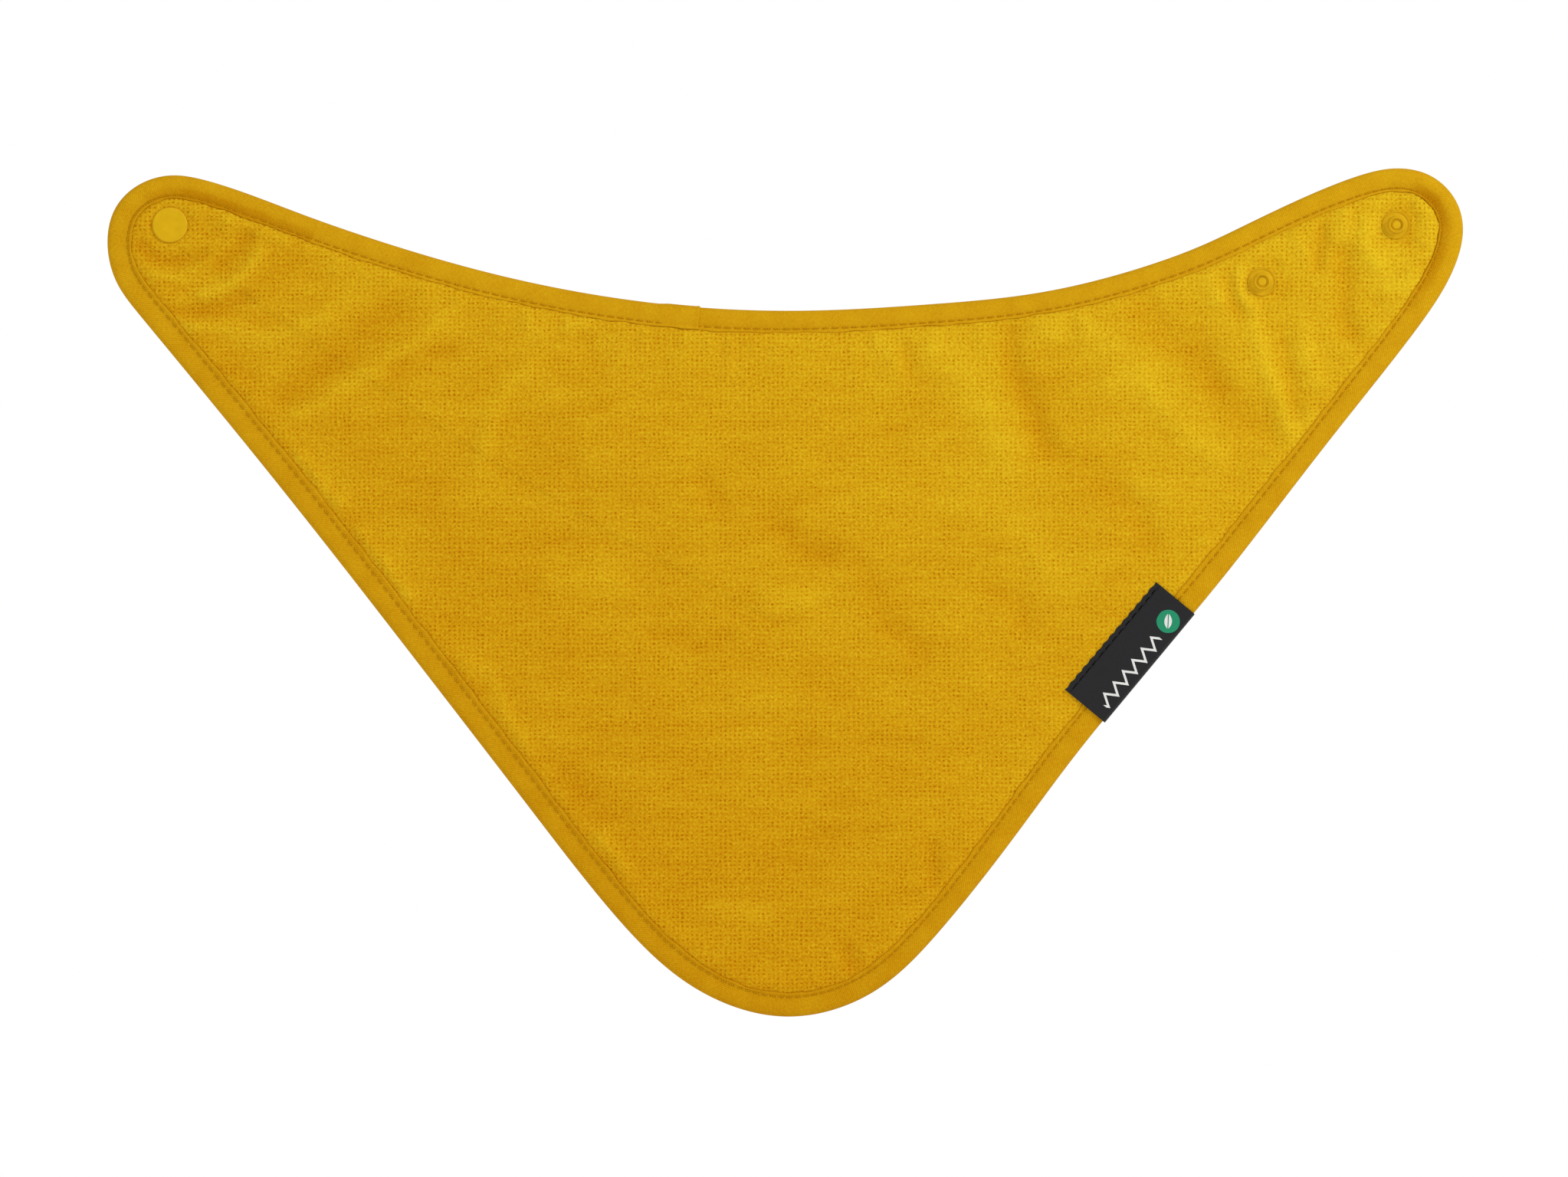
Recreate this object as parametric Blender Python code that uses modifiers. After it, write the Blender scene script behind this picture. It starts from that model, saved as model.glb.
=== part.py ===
"""Bandana bib: a towelling front and a waterproof backing, bound round the edge with folded tape.

The bib stands upright and flat, as if held at the neck. +Z is up, the front faces -Y and the wearer is
on the +Y side. The origin is the middle of the neckline. Left and right are as seen from the front.
The plane y = 0 is the back of the binding, and the fold lines where the neck ends wrap round lie in it.
"""

import math

import bmesh
import bpy
import numpy as np
from mathutils import Matrix, Vector

MM = 0.001

# Outline of the bib, as points in millimetres that one smooth closed curve passes through.
NECKLINE = [(-140, 27), (-103, 15.1), (-66, 6.3), (-29, 1.2), (8, 0), (45, 2), (82, 6.4), (119, 17), (137, 25)]
RIGHT_TIP = [(156, 34), (174, 41), (185, 42.8), (195, 40.2), (202.2, 32.5), (204, 23), (201, 12), (192, -3)]
RIGHT_SIDE = [(163, -40.2), (134.3, -77.3), (111.3, -105), (88.3, -132.7), (67.6, -160.4)]
BOTTOM = [(45.5, -188), (26, -205.5), (1, -212.6), (-24, -205.8), (-46, -188)]
LEFT_SIDE = [(-76, -151), (-104.4, -114.1), (-133, -77.2), (-163, -39.5)]
LEFT_TIP = [(-193, -3), (-201.5, 9), (-204, 20), (-201.8, 30.5), (-195, 37.6), (-186, 40.6), (-176, 39.6), (-160, 34.5)]
STEPS_PER_SPAN = 4

# Cloth and thread thicknesses. Layers that lie on each other keep LAYER_GAP between them.
LAYER_GAP = 0.1 * MM
TAPE = 0.6 * MM  # the binding tape's two plies on one side
BACKING = 0.25 * MM
TOWELLING = 1.5 * MM
TAPE_WIDTH = 7.0 * MM
TAPE_EDGE = 0.8 * MM  # from the outline to the cloth inside the fold
SEAM_INSET = 5.7 * MM
SEAM_THREAD = 0.36 * MM
LABEL_CLOTH = 0.25 * MM

# Depths, from the back of the binding towards the front. Larger is nearer the front.
BACKING_BACK = TAPE + LAYER_GAP
BACKING_FRONT = BACKING_BACK + BACKING
TOWELLING_BACK = BACKING_FRONT + LAYER_GAP
TOWELLING_FRONT = TOWELLING_BACK + TOWELLING
BIB_DEPTH = TOWELLING_FRONT + LAYER_GAP + TAPE

# Size 16 resin snaps. A cap's post goes through the cloth and is flattened inside its stud or socket.
CAP_RADIUS = 5.35 * MM
CAP_THICKNESS = 1.2 * MM
CAP_EDGE = 0.35 * MM
POST_RADIUS = 0.95 * MM
POST_HOLE_RADIUS = 1.15 * MM
WEB_THICKNESS = 0.6 * MM
RIVET_RADIUS = 1.4 * MM
RIVET_THICKNESS = 0.5 * MM
FLANGE_RADIUS = 4.2 * MM
FLANGE_THICKNESS = 0.8 * MM
KNOB_NECK_RADIUS = 2.15 * MM
KNOB_RADIUS = 2.4 * MM
KNOB_HEIGHT = 1.6 * MM
KNOB_LIP = 0.5 * MM
KNOB_HOLLOW_RADIUS = 1.55 * MM
SOCKET_RADIUS = 4.4 * MM
SOCKET_HEIGHT = 3.0 * MM
SOCKET_SKIRT = 0.8 * MM
SOCKET_WALL_RADIUS = 4.1 * MM
SNAP_CHAMFER = 0.3 * MM
SOCKET_MOUTH_RADIUS = 2.65 * MM
SNAP_STEPS = 28
SNAP_CLEARANCE = 0.1 * MM

SOCKET_AT = Vector((-185.1, 25.7)) * MM
OUTER_STUD_AT = Vector((183.9, 25.7)) * MM
INNER_STUD_AT = Vector((143.5, 8.6)) * MM

# Folds. Closed, the two ends lie one over the other behind the neck, the socket on the outer stud.
RIGHT_SHOULDER_X = 60 * MM
LEFT_SHOULDER_X = -57 * MM
STUD_FACE = TOWELLING_FRONT + LAYER_GAP + FLANGE_THICKNESS
SOCKET_FACE = SOCKET_HEIGHT - BACKING_BACK + LAYER_GAP
LAP = STUD_FACE + SOCKET_FACE + SNAP_CLEARANCE
ROUND_NECK = OUTER_STUD_AT.x - SOCKET_AT.x
RIGHT_SIDE_DEPTH = (ROUND_NECK - LAP) / 2 - (RIGHT_SHOULDER_X - LEFT_SHOULDER_X)
RIGHT_END_X = RIGHT_SHOULDER_X + RIGHT_SIDE_DEPTH
LEFT_END_X = LEFT_SHOULDER_X - RIGHT_SIDE_DEPTH - LAP
FOLD_GAP = 0.15 * MM  # from a fold line to the cloth on either side of it
THREAD_FOLD_GAP = 0.8 * MM

# The woven label is folded over the right side's edge and sewn along its inner edge.
LABEL_MIDDLE = Vector((109.3, -107.4)) * MM
LABEL_ANGLE = math.radians(50.3)
LABEL_LENGTH = 42.4 * MM
LABEL_WIDTH = 14.3 * MM
LABEL_THREAD = 0.3 * MM
LABEL_SEAM_INSET = 1.2 * MM
LABEL_FOLD = 0.3 * MM  # how far the label's fold stands off the bib's edge
LABEL_SEAM_END = 1.0 * MM

# Each material's linear colour and roughness.
LOOKS = {
    "towelling_cloth": ((0.61, 0.31, 0.005), 0.95),
    "backing_cloth": ((0.60, 0.30, 0.005), 0.45),
    "binding_cloth": ((0.62, 0.32, 0.005), 0.75),
    "seam_thread": ((0.58, 0.29, 0.004), 0.6),
    "snap_resin": ((0.665, 0.418, 0.009), 0.35),
    "label_satin": ((0.027, 0.027, 0.028), 0.55),
    "label_thread": ((0.012, 0.012, 0.013), 0.5),
}

# Bounds of each body's cloth across the bib, and whether its edge tape is in two runs.
FAR = 0.3
NECK_AND_HEM_PART = -0.045
BODIES = {
    "chest": (LEFT_SHOULDER_X, RIGHT_SHOULDER_X, True),
    "left_shoulder": (LEFT_END_X, LEFT_SHOULDER_X, True),
    "left_end": (-FAR, LEFT_END_X, False),
    "right_shoulder": (RIGHT_SHOULDER_X, RIGHT_END_X, True),
    "right_end": (RIGHT_END_X, FAR, False),
}


def start_scene():
    for obj in list(bpy.data.objects):
        bpy.data.objects.remove(obj)
    found = []
    for name in ("bandana_bib", "cutters"):
        collection = bpy.data.collections.new(name)
        bpy.context.scene.collection.children.link(collection)
        found.append(collection)
    return found


def material(name):
    colour, roughness = LOOKS[name]
    made = bpy.data.materials.get(name) or bpy.data.materials.new(name)
    made.use_nodes = True
    shader = made.node_tree.nodes["Principled BSDF"]
    shader.inputs["Base Color"].default_value = (*colour, 1)
    shader.inputs["Roughness"].default_value = roughness
    shader.inputs["Metallic"].default_value = 0.0
    return made


def closed_spline(points, steps):
    """Points along the smooth closed curve through these points, a periodic cubic with even end slopes."""
    knots = np.array(points, float)
    count = len(knots)
    lengths = np.linalg.norm(np.roll(knots, -1, axis=0) - knots, axis=1) ** 0.5
    system = np.zeros((count, count))
    right_hand = np.zeros((count, 2))
    for i in range(count):
        before, after = lengths[i - 1], lengths[i]
        system[i, i - 1] += after
        system[i, i] += 2 * (before + after)
        system[i, (i + 1) % count] += before
        rise_before = (knots[i] - knots[i - 1]) / before
        rise_after = (knots[(i + 1) % count] - knots[i]) / after
        right_hand[i] = 3 * (after * rise_before + before * rise_after)
    slopes = np.linalg.solve(system, right_hand)
    found = []
    for i in range(count):
        span = lengths[i]
        start, end = knots[i], knots[(i + 1) % count]
        start_slope, end_slope = slopes[i] * span, slopes[(i + 1) % count] * span
        for t in np.linspace(0, 1, steps, endpoint=False):
            found.append(
                start * (1 + 2 * t) * (1 - t) ** 2
                + start_slope * t * (1 - t) ** 2
                + end * t * t * (3 - 2 * t)
                + end_slope * t * t * (t - 1)
            )
    return np.array(found)


def outline(inset):
    """The bib's outline moved inwards, in metres, clockwise as seen from the front."""
    edge = closed_spline(NECKLINE + RIGHT_TIP + RIGHT_SIDE + BOTTOM + LEFT_SIDE + LEFT_TIP, STEPS_PER_SPAN) * MM
    along = np.roll(edge, -1, axis=0) - np.roll(edge, 1, axis=0)
    along /= np.linalg.norm(along, axis=1)[:, None]
    inwards = np.stack([along[:, 1], -along[:, 0]], axis=1)
    return edge + inwards * inset


def curve_object(name, points, cyclic, collection):
    curve = bpy.data.curves.new(name, "CURVE")
    spline = curve.splines.new("POLY")
    spline.points.add(len(points) - 1)
    for place, point in zip(spline.points, points):
        place.co = (*point, *[0] * (3 - len(point)), 1)
    spline.use_cyclic_u = cyclic
    made = bpy.data.objects.new(name, curve)
    collection.objects.link(made)
    return made


def as_mesh(curve, collection):
    """The curve's shape as a welded mesh object of the same name and place. The curve is removed."""
    bpy.context.view_layer.update()
    graph = bpy.context.evaluated_depsgraph_get()
    mesh = bpy.data.meshes.new_from_object(curve.evaluated_get(graph))
    shape = bmesh.new()
    shape.from_mesh(mesh)
    bmesh.ops.remove_doubles(shape, verts=shape.verts, dist=1e-6)
    bmesh.ops.recalc_face_normals(shape, faces=shape.faces)
    shape.to_mesh(mesh)
    shape.free()
    name, place = curve.name, curve.matrix_world.copy()
    bpy.data.objects.remove(curve)
    made = bpy.data.objects.new(name, mesh)
    made.matrix_world = place
    collection.objects.link(made)
    return made


def stand_up(obj, depth):
    """Turns a shape drawn flat to stand in the bib's plane, its own Z towards the front, at this depth."""
    obj.matrix_world = Matrix.Translation((0, -depth, 0)) @ Matrix.Rotation(math.radians(90), 4, "X")


def plate(name, inset, back, front, collection):
    """A sheet of the bib's outline, moved inwards, between two depths."""
    curve = curve_object(name, outline(inset), True, collection)
    curve.data.dimensions = "2D"
    curve.data.fill_mode = "BOTH"
    curve.data.extrude = (front - back) / 2
    stand_up(curve, (front + back) / 2)
    return as_mesh(curve, collection)


def box(name, low, high, collection):
    bpy.ops.mesh.primitive_cube_add(size=1)
    made = bpy.context.object
    made.name = name
    centre = (Vector(low) + Vector(high)) / 2
    size = Vector(high) - Vector(low)
    made.data.transform(Matrix.Translation(centre) @ Matrix.Diagonal((*size, 1)))
    move_to(made, collection)
    return made


def rod(name, at, radius, collection):
    """A round cutter through the cloth at a snap."""
    bpy.ops.mesh.primitive_cylinder_add(vertices=20, radius=radius, depth=20 * MM)
    made = bpy.context.object
    made.name = name
    made.matrix_world = Matrix.Translation((at.x, 0, at.y)) @ Matrix.Rotation(math.radians(90), 4, "X")
    move_to(made, collection)
    return made


def move_to(obj, collection):
    for held in list(obj.users_collection):
        held.objects.unlink(obj)
    collection.objects.link(obj)


def hide(obj):
    obj.hide_render = True
    obj.display_type = "WIRE"
    return obj


def boolean(obj, operation, other):
    made = obj.modifiers.new(f"{operation.lower()} {other.name}", "BOOLEAN")
    made.operation = operation
    made.object = other
    made.solver = "EXACT"


def finished_copy(obj, name, collection):
    """A new mesh object holding this one's shape after its modifiers."""
    bpy.context.view_layer.update()
    graph = bpy.context.evaluated_depsgraph_get()
    mesh = bpy.data.meshes.new_from_object(obj.evaluated_get(graph))
    made = bpy.data.objects.new(name, mesh)
    made.matrix_world = obj.matrix_world.copy()
    collection.objects.link(made)
    return made


def attach(obj, empty):
    bpy.context.view_layer.update()
    obj.parent = empty
    obj.matrix_parent_inverse = empty.matrix_world.inverted()


def fold_empties(collection):
    """One empty for each body, on the fold line about which it turns."""
    found = {}
    for body, parent, x in (
        ("chest", None, 0),
        ("left_shoulder", "chest", LEFT_SHOULDER_X),
        ("left_end", "left_shoulder", LEFT_END_X),
        ("right_shoulder", "chest", RIGHT_SHOULDER_X),
        ("right_end", "right_shoulder", RIGHT_END_X),
    ):
        empty = bpy.data.objects.new(f"fold_{body}", None)
        collection.objects.link(empty)
        empty.location = (x, 0, 0)
        if parent:
            attach(empty, found[parent])
        found[body] = empty
    return found


def zones(fold_gap, collection):
    """Cutters that keep one run of edge tape or thread each: {(body, run): cutter}."""
    found = {}
    for body, (low, high, two_runs) in BODIES.items():
        runs = [("", -FAR, FAR)]
        if two_runs:
            runs = [("_neck", NECK_AND_HEM_PART, FAR), ("_hem", -FAR, NECK_AND_HEM_PART)]
        for run, bottom, top in runs:
            name = f"zone_{body}{run}_{fold_gap / MM:.2f}"
            low_corner = (low + fold_gap, -FAR, bottom)
            found[(body, run)] = hide(box(name, low_corner, (high - fold_gap, FAR, top), collection))
    return found


def sheet_nodes(kind, whole, empties, collections):
    """Cuts a whole sheet of cloth at the fold lines into one solid for each body."""
    parts, cutters = collections
    for body, (low, high, _) in BODIES.items():
        name = f"{kind}_{body}"
        corner = (low + FOLD_GAP, -FAR, -FAR)
        zone = hide(box(f"zone_{name}", corner, (high - FOLD_GAP, FAR, FAR), cutters))
        node = finished_copy(whole, name, parts)
        boolean(node, "INTERSECT", zone)
        node.data.materials.append(material(f"{kind}_cloth"))
        attach(node, empties[body])
    hide(whole)


def run_nodes(kind, whole, look, cutters_by_run, empties, parts):
    """Cuts the closed ring of tape or thread at the fold lines into its runs."""
    for (body, run), zone in cutters_by_run.items():
        node = finished_copy(whole, f"{kind}_{body}{run}", parts)
        boolean(node, "INTERSECT", zone)
        node.data.materials.append(material(look))
        attach(node, empties[body])
    hide(whole)


def thread_ring(name, inset, depth, collection):
    """The seam's thread as one closed ring that lies on the tape."""
    ring = curve_object(name, outline(inset), True, collection)
    ring.data.dimensions = "3D"
    ring.data.bevel_depth = SEAM_THREAD / 2
    ring.data.bevel_resolution = 1
    stand_up(ring, depth)
    return as_mesh(ring, collection)


def turned(name, profile, at, depth, outwards, collection):
    """A round piece, from (radius, height) points down its outer side, standing on the cloth at a snap.

    outwards is 1 for a piece on the front and -1 for one on the back; height 0 is the cloth's face.
    """
    mesh = bpy.data.meshes.new(name)
    on_axis = profile[0][0] == 0
    count = len(profile)
    edges = [(i, i + 1) for i in range(count - 1)]
    if not on_axis:
        edges.append((count - 1, 0))
    mesh.from_pydata([(radius, 0, height) for radius, height in profile], edges, [])
    made = bpy.data.objects.new(name, mesh)
    collection.objects.link(made)
    screw = made.modifiers.new("turn", "SCREW")
    screw.steps = SNAP_STEPS
    screw.render_steps = SNAP_STEPS
    screw.use_merge_vertices = True
    screw.merge_threshold = 0.00001
    made.matrix_world = Matrix.Translation((at.x, -depth, at.y)) @ Matrix.Rotation(
        math.radians(90 * outwards), 4, "X"
    )
    made.data.materials.append(material("snap_resin"))
    return made


def cap_profile(through):
    """A cap and its post, with the end flattened into a rivet head beyond the web, this far through the cloth."""
    web_top = through + LAYER_GAP + WEB_THICKNESS
    head = web_top + LAYER_GAP
    return [
        (0, CAP_THICKNESS + LAYER_GAP),
        (CAP_RADIUS - CAP_EDGE, CAP_THICKNESS + LAYER_GAP),
        (CAP_RADIUS, CAP_THICKNESS + LAYER_GAP - CAP_EDGE),
        (CAP_RADIUS, LAYER_GAP),
        (POST_RADIUS, LAYER_GAP),
        (POST_RADIUS, -head),
        (RIVET_RADIUS, -head),
        (RIVET_RADIUS, -head - RIVET_THICKNESS),
        (0, -head - RIVET_THICKNESS),
    ]


def stud_profile():
    flange = LAYER_GAP + FLANGE_THICKNESS
    top = flange + KNOB_HEIGHT
    web = LAYER_GAP + WEB_THICKNESS
    return [
        (KNOB_HOLLOW_RADIUS, top),
        (KNOB_RADIUS - SNAP_CHAMFER, top),
        (KNOB_RADIUS, top - KNOB_LIP),
        (KNOB_NECK_RADIUS, flange + KNOB_LIP),
        (KNOB_NECK_RADIUS, flange),
        (FLANGE_RADIUS, flange),
        (FLANGE_RADIUS, LAYER_GAP),
        (POST_HOLE_RADIUS, LAYER_GAP),
        (POST_HOLE_RADIUS, web),
        (KNOB_HOLLOW_RADIUS, web),
    ]


def socket_profile():
    top = LAYER_GAP + SOCKET_HEIGHT
    web = LAYER_GAP + WEB_THICKNESS
    return [
        (SOCKET_MOUTH_RADIUS, top),
        (SOCKET_WALL_RADIUS - SNAP_CHAMFER, top),
        (SOCKET_WALL_RADIUS, top - SNAP_CHAMFER),
        (SOCKET_WALL_RADIUS, LAYER_GAP + SOCKET_SKIRT + SNAP_CHAMFER),
        (SOCKET_RADIUS, LAYER_GAP + SOCKET_SKIRT),
        (SOCKET_RADIUS, LAYER_GAP),
        (POST_HOLE_RADIUS, LAYER_GAP),
        (POST_HOLE_RADIUS, web),
        (SOCKET_MOUTH_RADIUS, web),
    ]


def snaps(empties, parts):
    cloth = TOWELLING_FRONT - BACKING_BACK
    front, back = 1, -1
    left = [
        turned("snap_cap_left", cap_profile(cloth), SOCKET_AT, TOWELLING_FRONT, front, parts),
        turned("snap_socket_left", socket_profile(), SOCKET_AT, BACKING_BACK, back, parts),
    ]
    right = []
    for name, at in (("outer", OUTER_STUD_AT), ("inner", INNER_STUD_AT)):
        right.append(turned(f"snap_stud_{name}", stud_profile(), at, TOWELLING_FRONT, front, parts))
        right.append(turned(f"snap_cap_{name}", cap_profile(cloth), at, BACKING_BACK, back, parts))
    for node in left:
        attach(node, empties["left_end"])
    for node in right:
        attach(node, empties["right_end"])


def label_matrix():
    """Puts (across, depth, along) at the label: across runs inwards from the bib's edge."""
    along = Vector((math.cos(LABEL_ANGLE), 0, math.sin(LABEL_ANGLE)))
    towards_front = Vector((0, -1, 0))
    across = Vector((-along.z, 0, along.x))
    turn = Matrix((across, towards_front, along)).transposed().to_4x4()
    return Matrix.Translation((LABEL_MIDDLE.x, 0, LABEL_MIDDLE.y)) @ turn


def label_nodes(empties, parts):
    """The label, folded like a U over the edge, and its two threads."""
    thread_room = SEAM_THREAD + 2 * LAYER_GAP
    inner_front = BIB_DEPTH + thread_room
    inner_back = -thread_room
    outer_front = inner_front + LABEL_CLOTH
    outer_back = inner_back - LABEL_CLOTH
    fold = -LABEL_FOLD
    section = [
        (LABEL_WIDTH, outer_front),
        (fold, outer_front),
        (fold - LABEL_CLOTH, inner_front),
        (fold - LABEL_CLOTH, inner_back),
        (fold, outer_back),
        (LABEL_WIDTH, outer_back),
        (LABEL_WIDTH, inner_back),
        (fold, inner_back),
        (fold, inner_front),
        (LABEL_WIDTH, inner_front),
    ]
    curve = curve_object("woven_label", section, True, parts)
    curve.data.dimensions = "2D"
    curve.data.fill_mode = "BOTH"
    curve.data.extrude = LABEL_LENGTH / 2
    curve.matrix_world = label_matrix()
    label = as_mesh(curve, parts)
    label.data.materials.append(material("label_satin"))
    attach(label, empties["right_shoulder"])
    seam = LABEL_WIDTH - LABEL_SEAM_INSET
    reach = LABEL_LENGTH / 2 - LABEL_SEAM_END
    lift = LAYER_GAP + LABEL_THREAD / 2
    for name, depth in (("needle", outer_front + lift), ("bobbin", outer_back - lift)):
        ends = [(seam, depth, -reach), (seam, depth, reach)]
        thread = curve_object(f"label_{name}_thread", ends, False, parts)
        thread.data.dimensions = "3D"
        thread.data.bevel_depth = LABEL_THREAD / 2
        thread.data.bevel_resolution = 2
        thread.data.use_fill_caps = True
        thread.matrix_world = label_matrix()
        thread.data.materials.append(material("label_thread"))
        attach(thread, empties["right_shoulder"])


def main():
    collections = start_scene()
    parts, cutters = collections
    empties = fold_empties(parts)

    towelling = plate("whole_towelling", TAPE_EDGE + LAYER_GAP, TOWELLING_BACK, TOWELLING_FRONT, cutters)
    backing = plate("whole_backing", TAPE_EDGE + LAYER_GAP, BACKING_BACK, BACKING_FRONT, cutters)
    for name, at in (("left", SOCKET_AT), ("outer", OUTER_STUD_AT), ("inner", INNER_STUD_AT)):
        hole = hide(rod(f"post_hole_{name}", at, POST_HOLE_RADIUS, cutters))
        boolean(towelling, "DIFFERENCE", hole)
        boolean(backing, "DIFFERENCE", hole)
    sheet_nodes("towelling", towelling, empties, collections)
    sheet_nodes("backing", backing, empties, collections)

    tape = plate("whole_binding", 0, 0, BIB_DEPTH, cutters)
    pocket = plate("tape_pocket", TAPE_EDGE, TAPE, BIB_DEPTH - TAPE, cutters)
    window = plate("tape_window", TAPE_WIDTH, -1 * MM, BIB_DEPTH + 1 * MM, cutters)
    boolean(tape, "DIFFERENCE", hide(pocket))
    boolean(tape, "DIFFERENCE", hide(window))
    run_nodes("binding", tape, "binding_cloth", zones(FOLD_GAP, cutters), empties, parts)

    thread_zones = zones(THREAD_FOLD_GAP, cutters)
    lift = LAYER_GAP + SEAM_THREAD / 2
    for name, depth in (("needle_thread", BIB_DEPTH + lift), ("bobbin_thread", -lift)):
        ring = thread_ring(f"whole_{name}", SEAM_INSET, depth, cutters)
        run_nodes(name, ring, "seam_thread", thread_zones, empties, parts)

    snaps(empties, parts)
    label_nodes(empties, parts)


main()
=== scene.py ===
"""A baby's bandana bib: towelling front, waterproof back, an edge bound with bias tape, a woven
label over the right edge, and snaps on the two neck ends. It stands flat and upright, front to -Y."""

import math

import bmesh
import bpy
import numpy as np
from mathutils import Matrix, Vector
from mathutils.kdtree import KDTree


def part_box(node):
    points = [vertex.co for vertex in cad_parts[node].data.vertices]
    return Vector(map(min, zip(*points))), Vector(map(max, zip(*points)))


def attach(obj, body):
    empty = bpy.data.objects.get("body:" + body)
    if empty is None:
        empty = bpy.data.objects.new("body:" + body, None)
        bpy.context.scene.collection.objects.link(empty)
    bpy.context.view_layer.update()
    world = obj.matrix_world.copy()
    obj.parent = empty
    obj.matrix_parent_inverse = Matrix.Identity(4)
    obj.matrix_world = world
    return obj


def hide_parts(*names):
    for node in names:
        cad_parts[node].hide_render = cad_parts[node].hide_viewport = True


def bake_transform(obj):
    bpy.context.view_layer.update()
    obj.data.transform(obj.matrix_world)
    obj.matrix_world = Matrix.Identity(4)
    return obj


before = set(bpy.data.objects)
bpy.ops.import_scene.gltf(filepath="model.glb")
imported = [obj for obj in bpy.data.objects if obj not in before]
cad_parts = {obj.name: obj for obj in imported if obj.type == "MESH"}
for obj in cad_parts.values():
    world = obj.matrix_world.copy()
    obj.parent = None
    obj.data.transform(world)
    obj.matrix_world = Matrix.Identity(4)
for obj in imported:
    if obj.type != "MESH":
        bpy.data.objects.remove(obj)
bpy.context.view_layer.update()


# ---- Towelling front ---------------------------------------------------------------------------
# One panel of cotton velour towelling, cut to the bib's outline and held all round by the tape. It is
# woven in rows of short loops that are sheared and brushed, so it is thick, matt and soft, and where
# the tape grips it the cloth gathers into shallow folds, painted lighter on their crests and darker in
# their creases.

# The outline's points in mm, clockwise from the left of the neckline.
NECKLINE = [
    (-140, 27), (-103, 15.1), (-66, 6.3), (-29, 1.2), (8, 0), (45, 2), (82, 6.4), (119, 17), (137, 25),
]
RIGHT_TIP = [(156, 34), (174, 41), (185, 42.8), (195, 40.2), (202.2, 32.5), (204, 23), (201, 12), (192, -3)]
RIGHT_SIDE = [(163, -40.2), (134.3, -77.3), (111.3, -105), (88.3, -132.7), (67.6, -160.4)]
BOTTOM = [(45.5, -188), (26, -205.5), (1, -212.6), (-24, -205.8), (-46, -188)]
LEFT_SIDE = [(-76, -151), (-104.4, -114.1), (-133, -77.2), (-163, -39.5)]
LEFT_TIP = [
    (-193, -3), (-201.5, 9), (-204, 20), (-201.8, 30.5), (-195, 37.6), (-186, 40.6), (-176, 39.6),
    (-160, 34.5),
]
EDGE_STEP = 0.25
STEPS_PER_KNOT = 400


def through_points(knots, step):
    """Points every step along the smooth closed curve through the knots, and how far along each one is."""
    knots = np.array(knots, float)
    count = len(knots)
    spans = np.linalg.norm(np.roll(knots, -1, axis=0) - knots, axis=1) ** 0.5
    system = np.zeros((count, count))
    wanted = np.zeros((count, 2))
    for i in range(count):
        before, after = spans[i - 1], spans[i]
        system[i, i - 1] += after
        system[i, i] += 2 * (before + after)
        system[i, (i + 1) % count] += before
        rise_before = (knots[i] - knots[i - 1]) / before
        rise_after = (knots[(i + 1) % count] - knots[i]) / after
        wanted[i] = 3 * (after * rise_before + before * rise_after)
    slopes = np.linalg.solve(system, wanted)
    found = []
    for i in range(count):
        start, end = knots[i], knots[(i + 1) % count]
        start_slope, end_slope = slopes[i] * spans[i], slopes[(i + 1) % count] * spans[i]
        t = np.linspace(0, 1, STEPS_PER_KNOT, endpoint=False)[:, None]
        hermite = start * (1 + 2 * t) * (1 - t) ** 2 + start_slope * t * (1 - t) ** 2
        found.append(hermite + end * t * t * (3 - 2 * t) + end_slope * t * t * (t - 1))
    fine = np.concatenate(found)
    along = np.concatenate([[0], np.cumsum(np.linalg.norm(np.roll(fine, -1, axis=0) - fine, axis=1))])
    fine = np.vstack([fine, fine[:1]])
    stations = np.linspace(0, along[-1], round(along[-1] / step), endpoint=False)
    points = np.stack([np.interp(stations, along, fine[:, k]) for k in (0, 1)], axis=1)
    return points, stations


def inwards_of(points):
    """The unit direction into the bib at each point of its outline, which runs clockwise from the front."""
    along = np.roll(points, -1, axis=0) - np.roll(points, 1, axis=0)
    along /= np.linalg.norm(along, axis=1)[:, None]
    return np.stack([along[:, 1], -along[:, 0]], axis=1)


outline = NECKLINE + RIGHT_TIP + RIGHT_SIDE + BOTTOM + LEFT_SIDE + LEFT_TIP
edge_mm, edge_along = through_points(outline, EDGE_STEP)
edge_inwards = inwards_of(edge_mm)
perimeter = edge_along[-1] + EDGE_STEP
edge_tree = KDTree(len(edge_mm))
for i, (x, z) in enumerate(edge_mm):
    edge_tree.insert((x, z, 0), i)
edge_tree.balance()


def from_edge(x, z):
    """For points of the cloth in mm: how far inside the outline each one is, and the nearest edge point."""
    nearest = np.array([edge_tree.find((a, b, 0))[1] for a, b in zip(x, z)], int)
    inside = (x - edge_mm[nearest, 0]) * edge_inwards[nearest, 0]
    inside += (z - edge_mm[nearest, 1]) * edge_inwards[nearest, 1]
    return inside, nearest


def smooth(value, low, high):
    """A soft step: 0 up to low, 1 from high on."""
    t = np.clip((value - low) / (high - low), 0, 1)
    return t * t * (3 - 2 * t)


def hump(value, middle, reach):
    """1 at the middle, a third at this reach to each side of it, and 0 well beyond."""
    return np.exp(-(((value - middle) / reach) ** 2))


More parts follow.
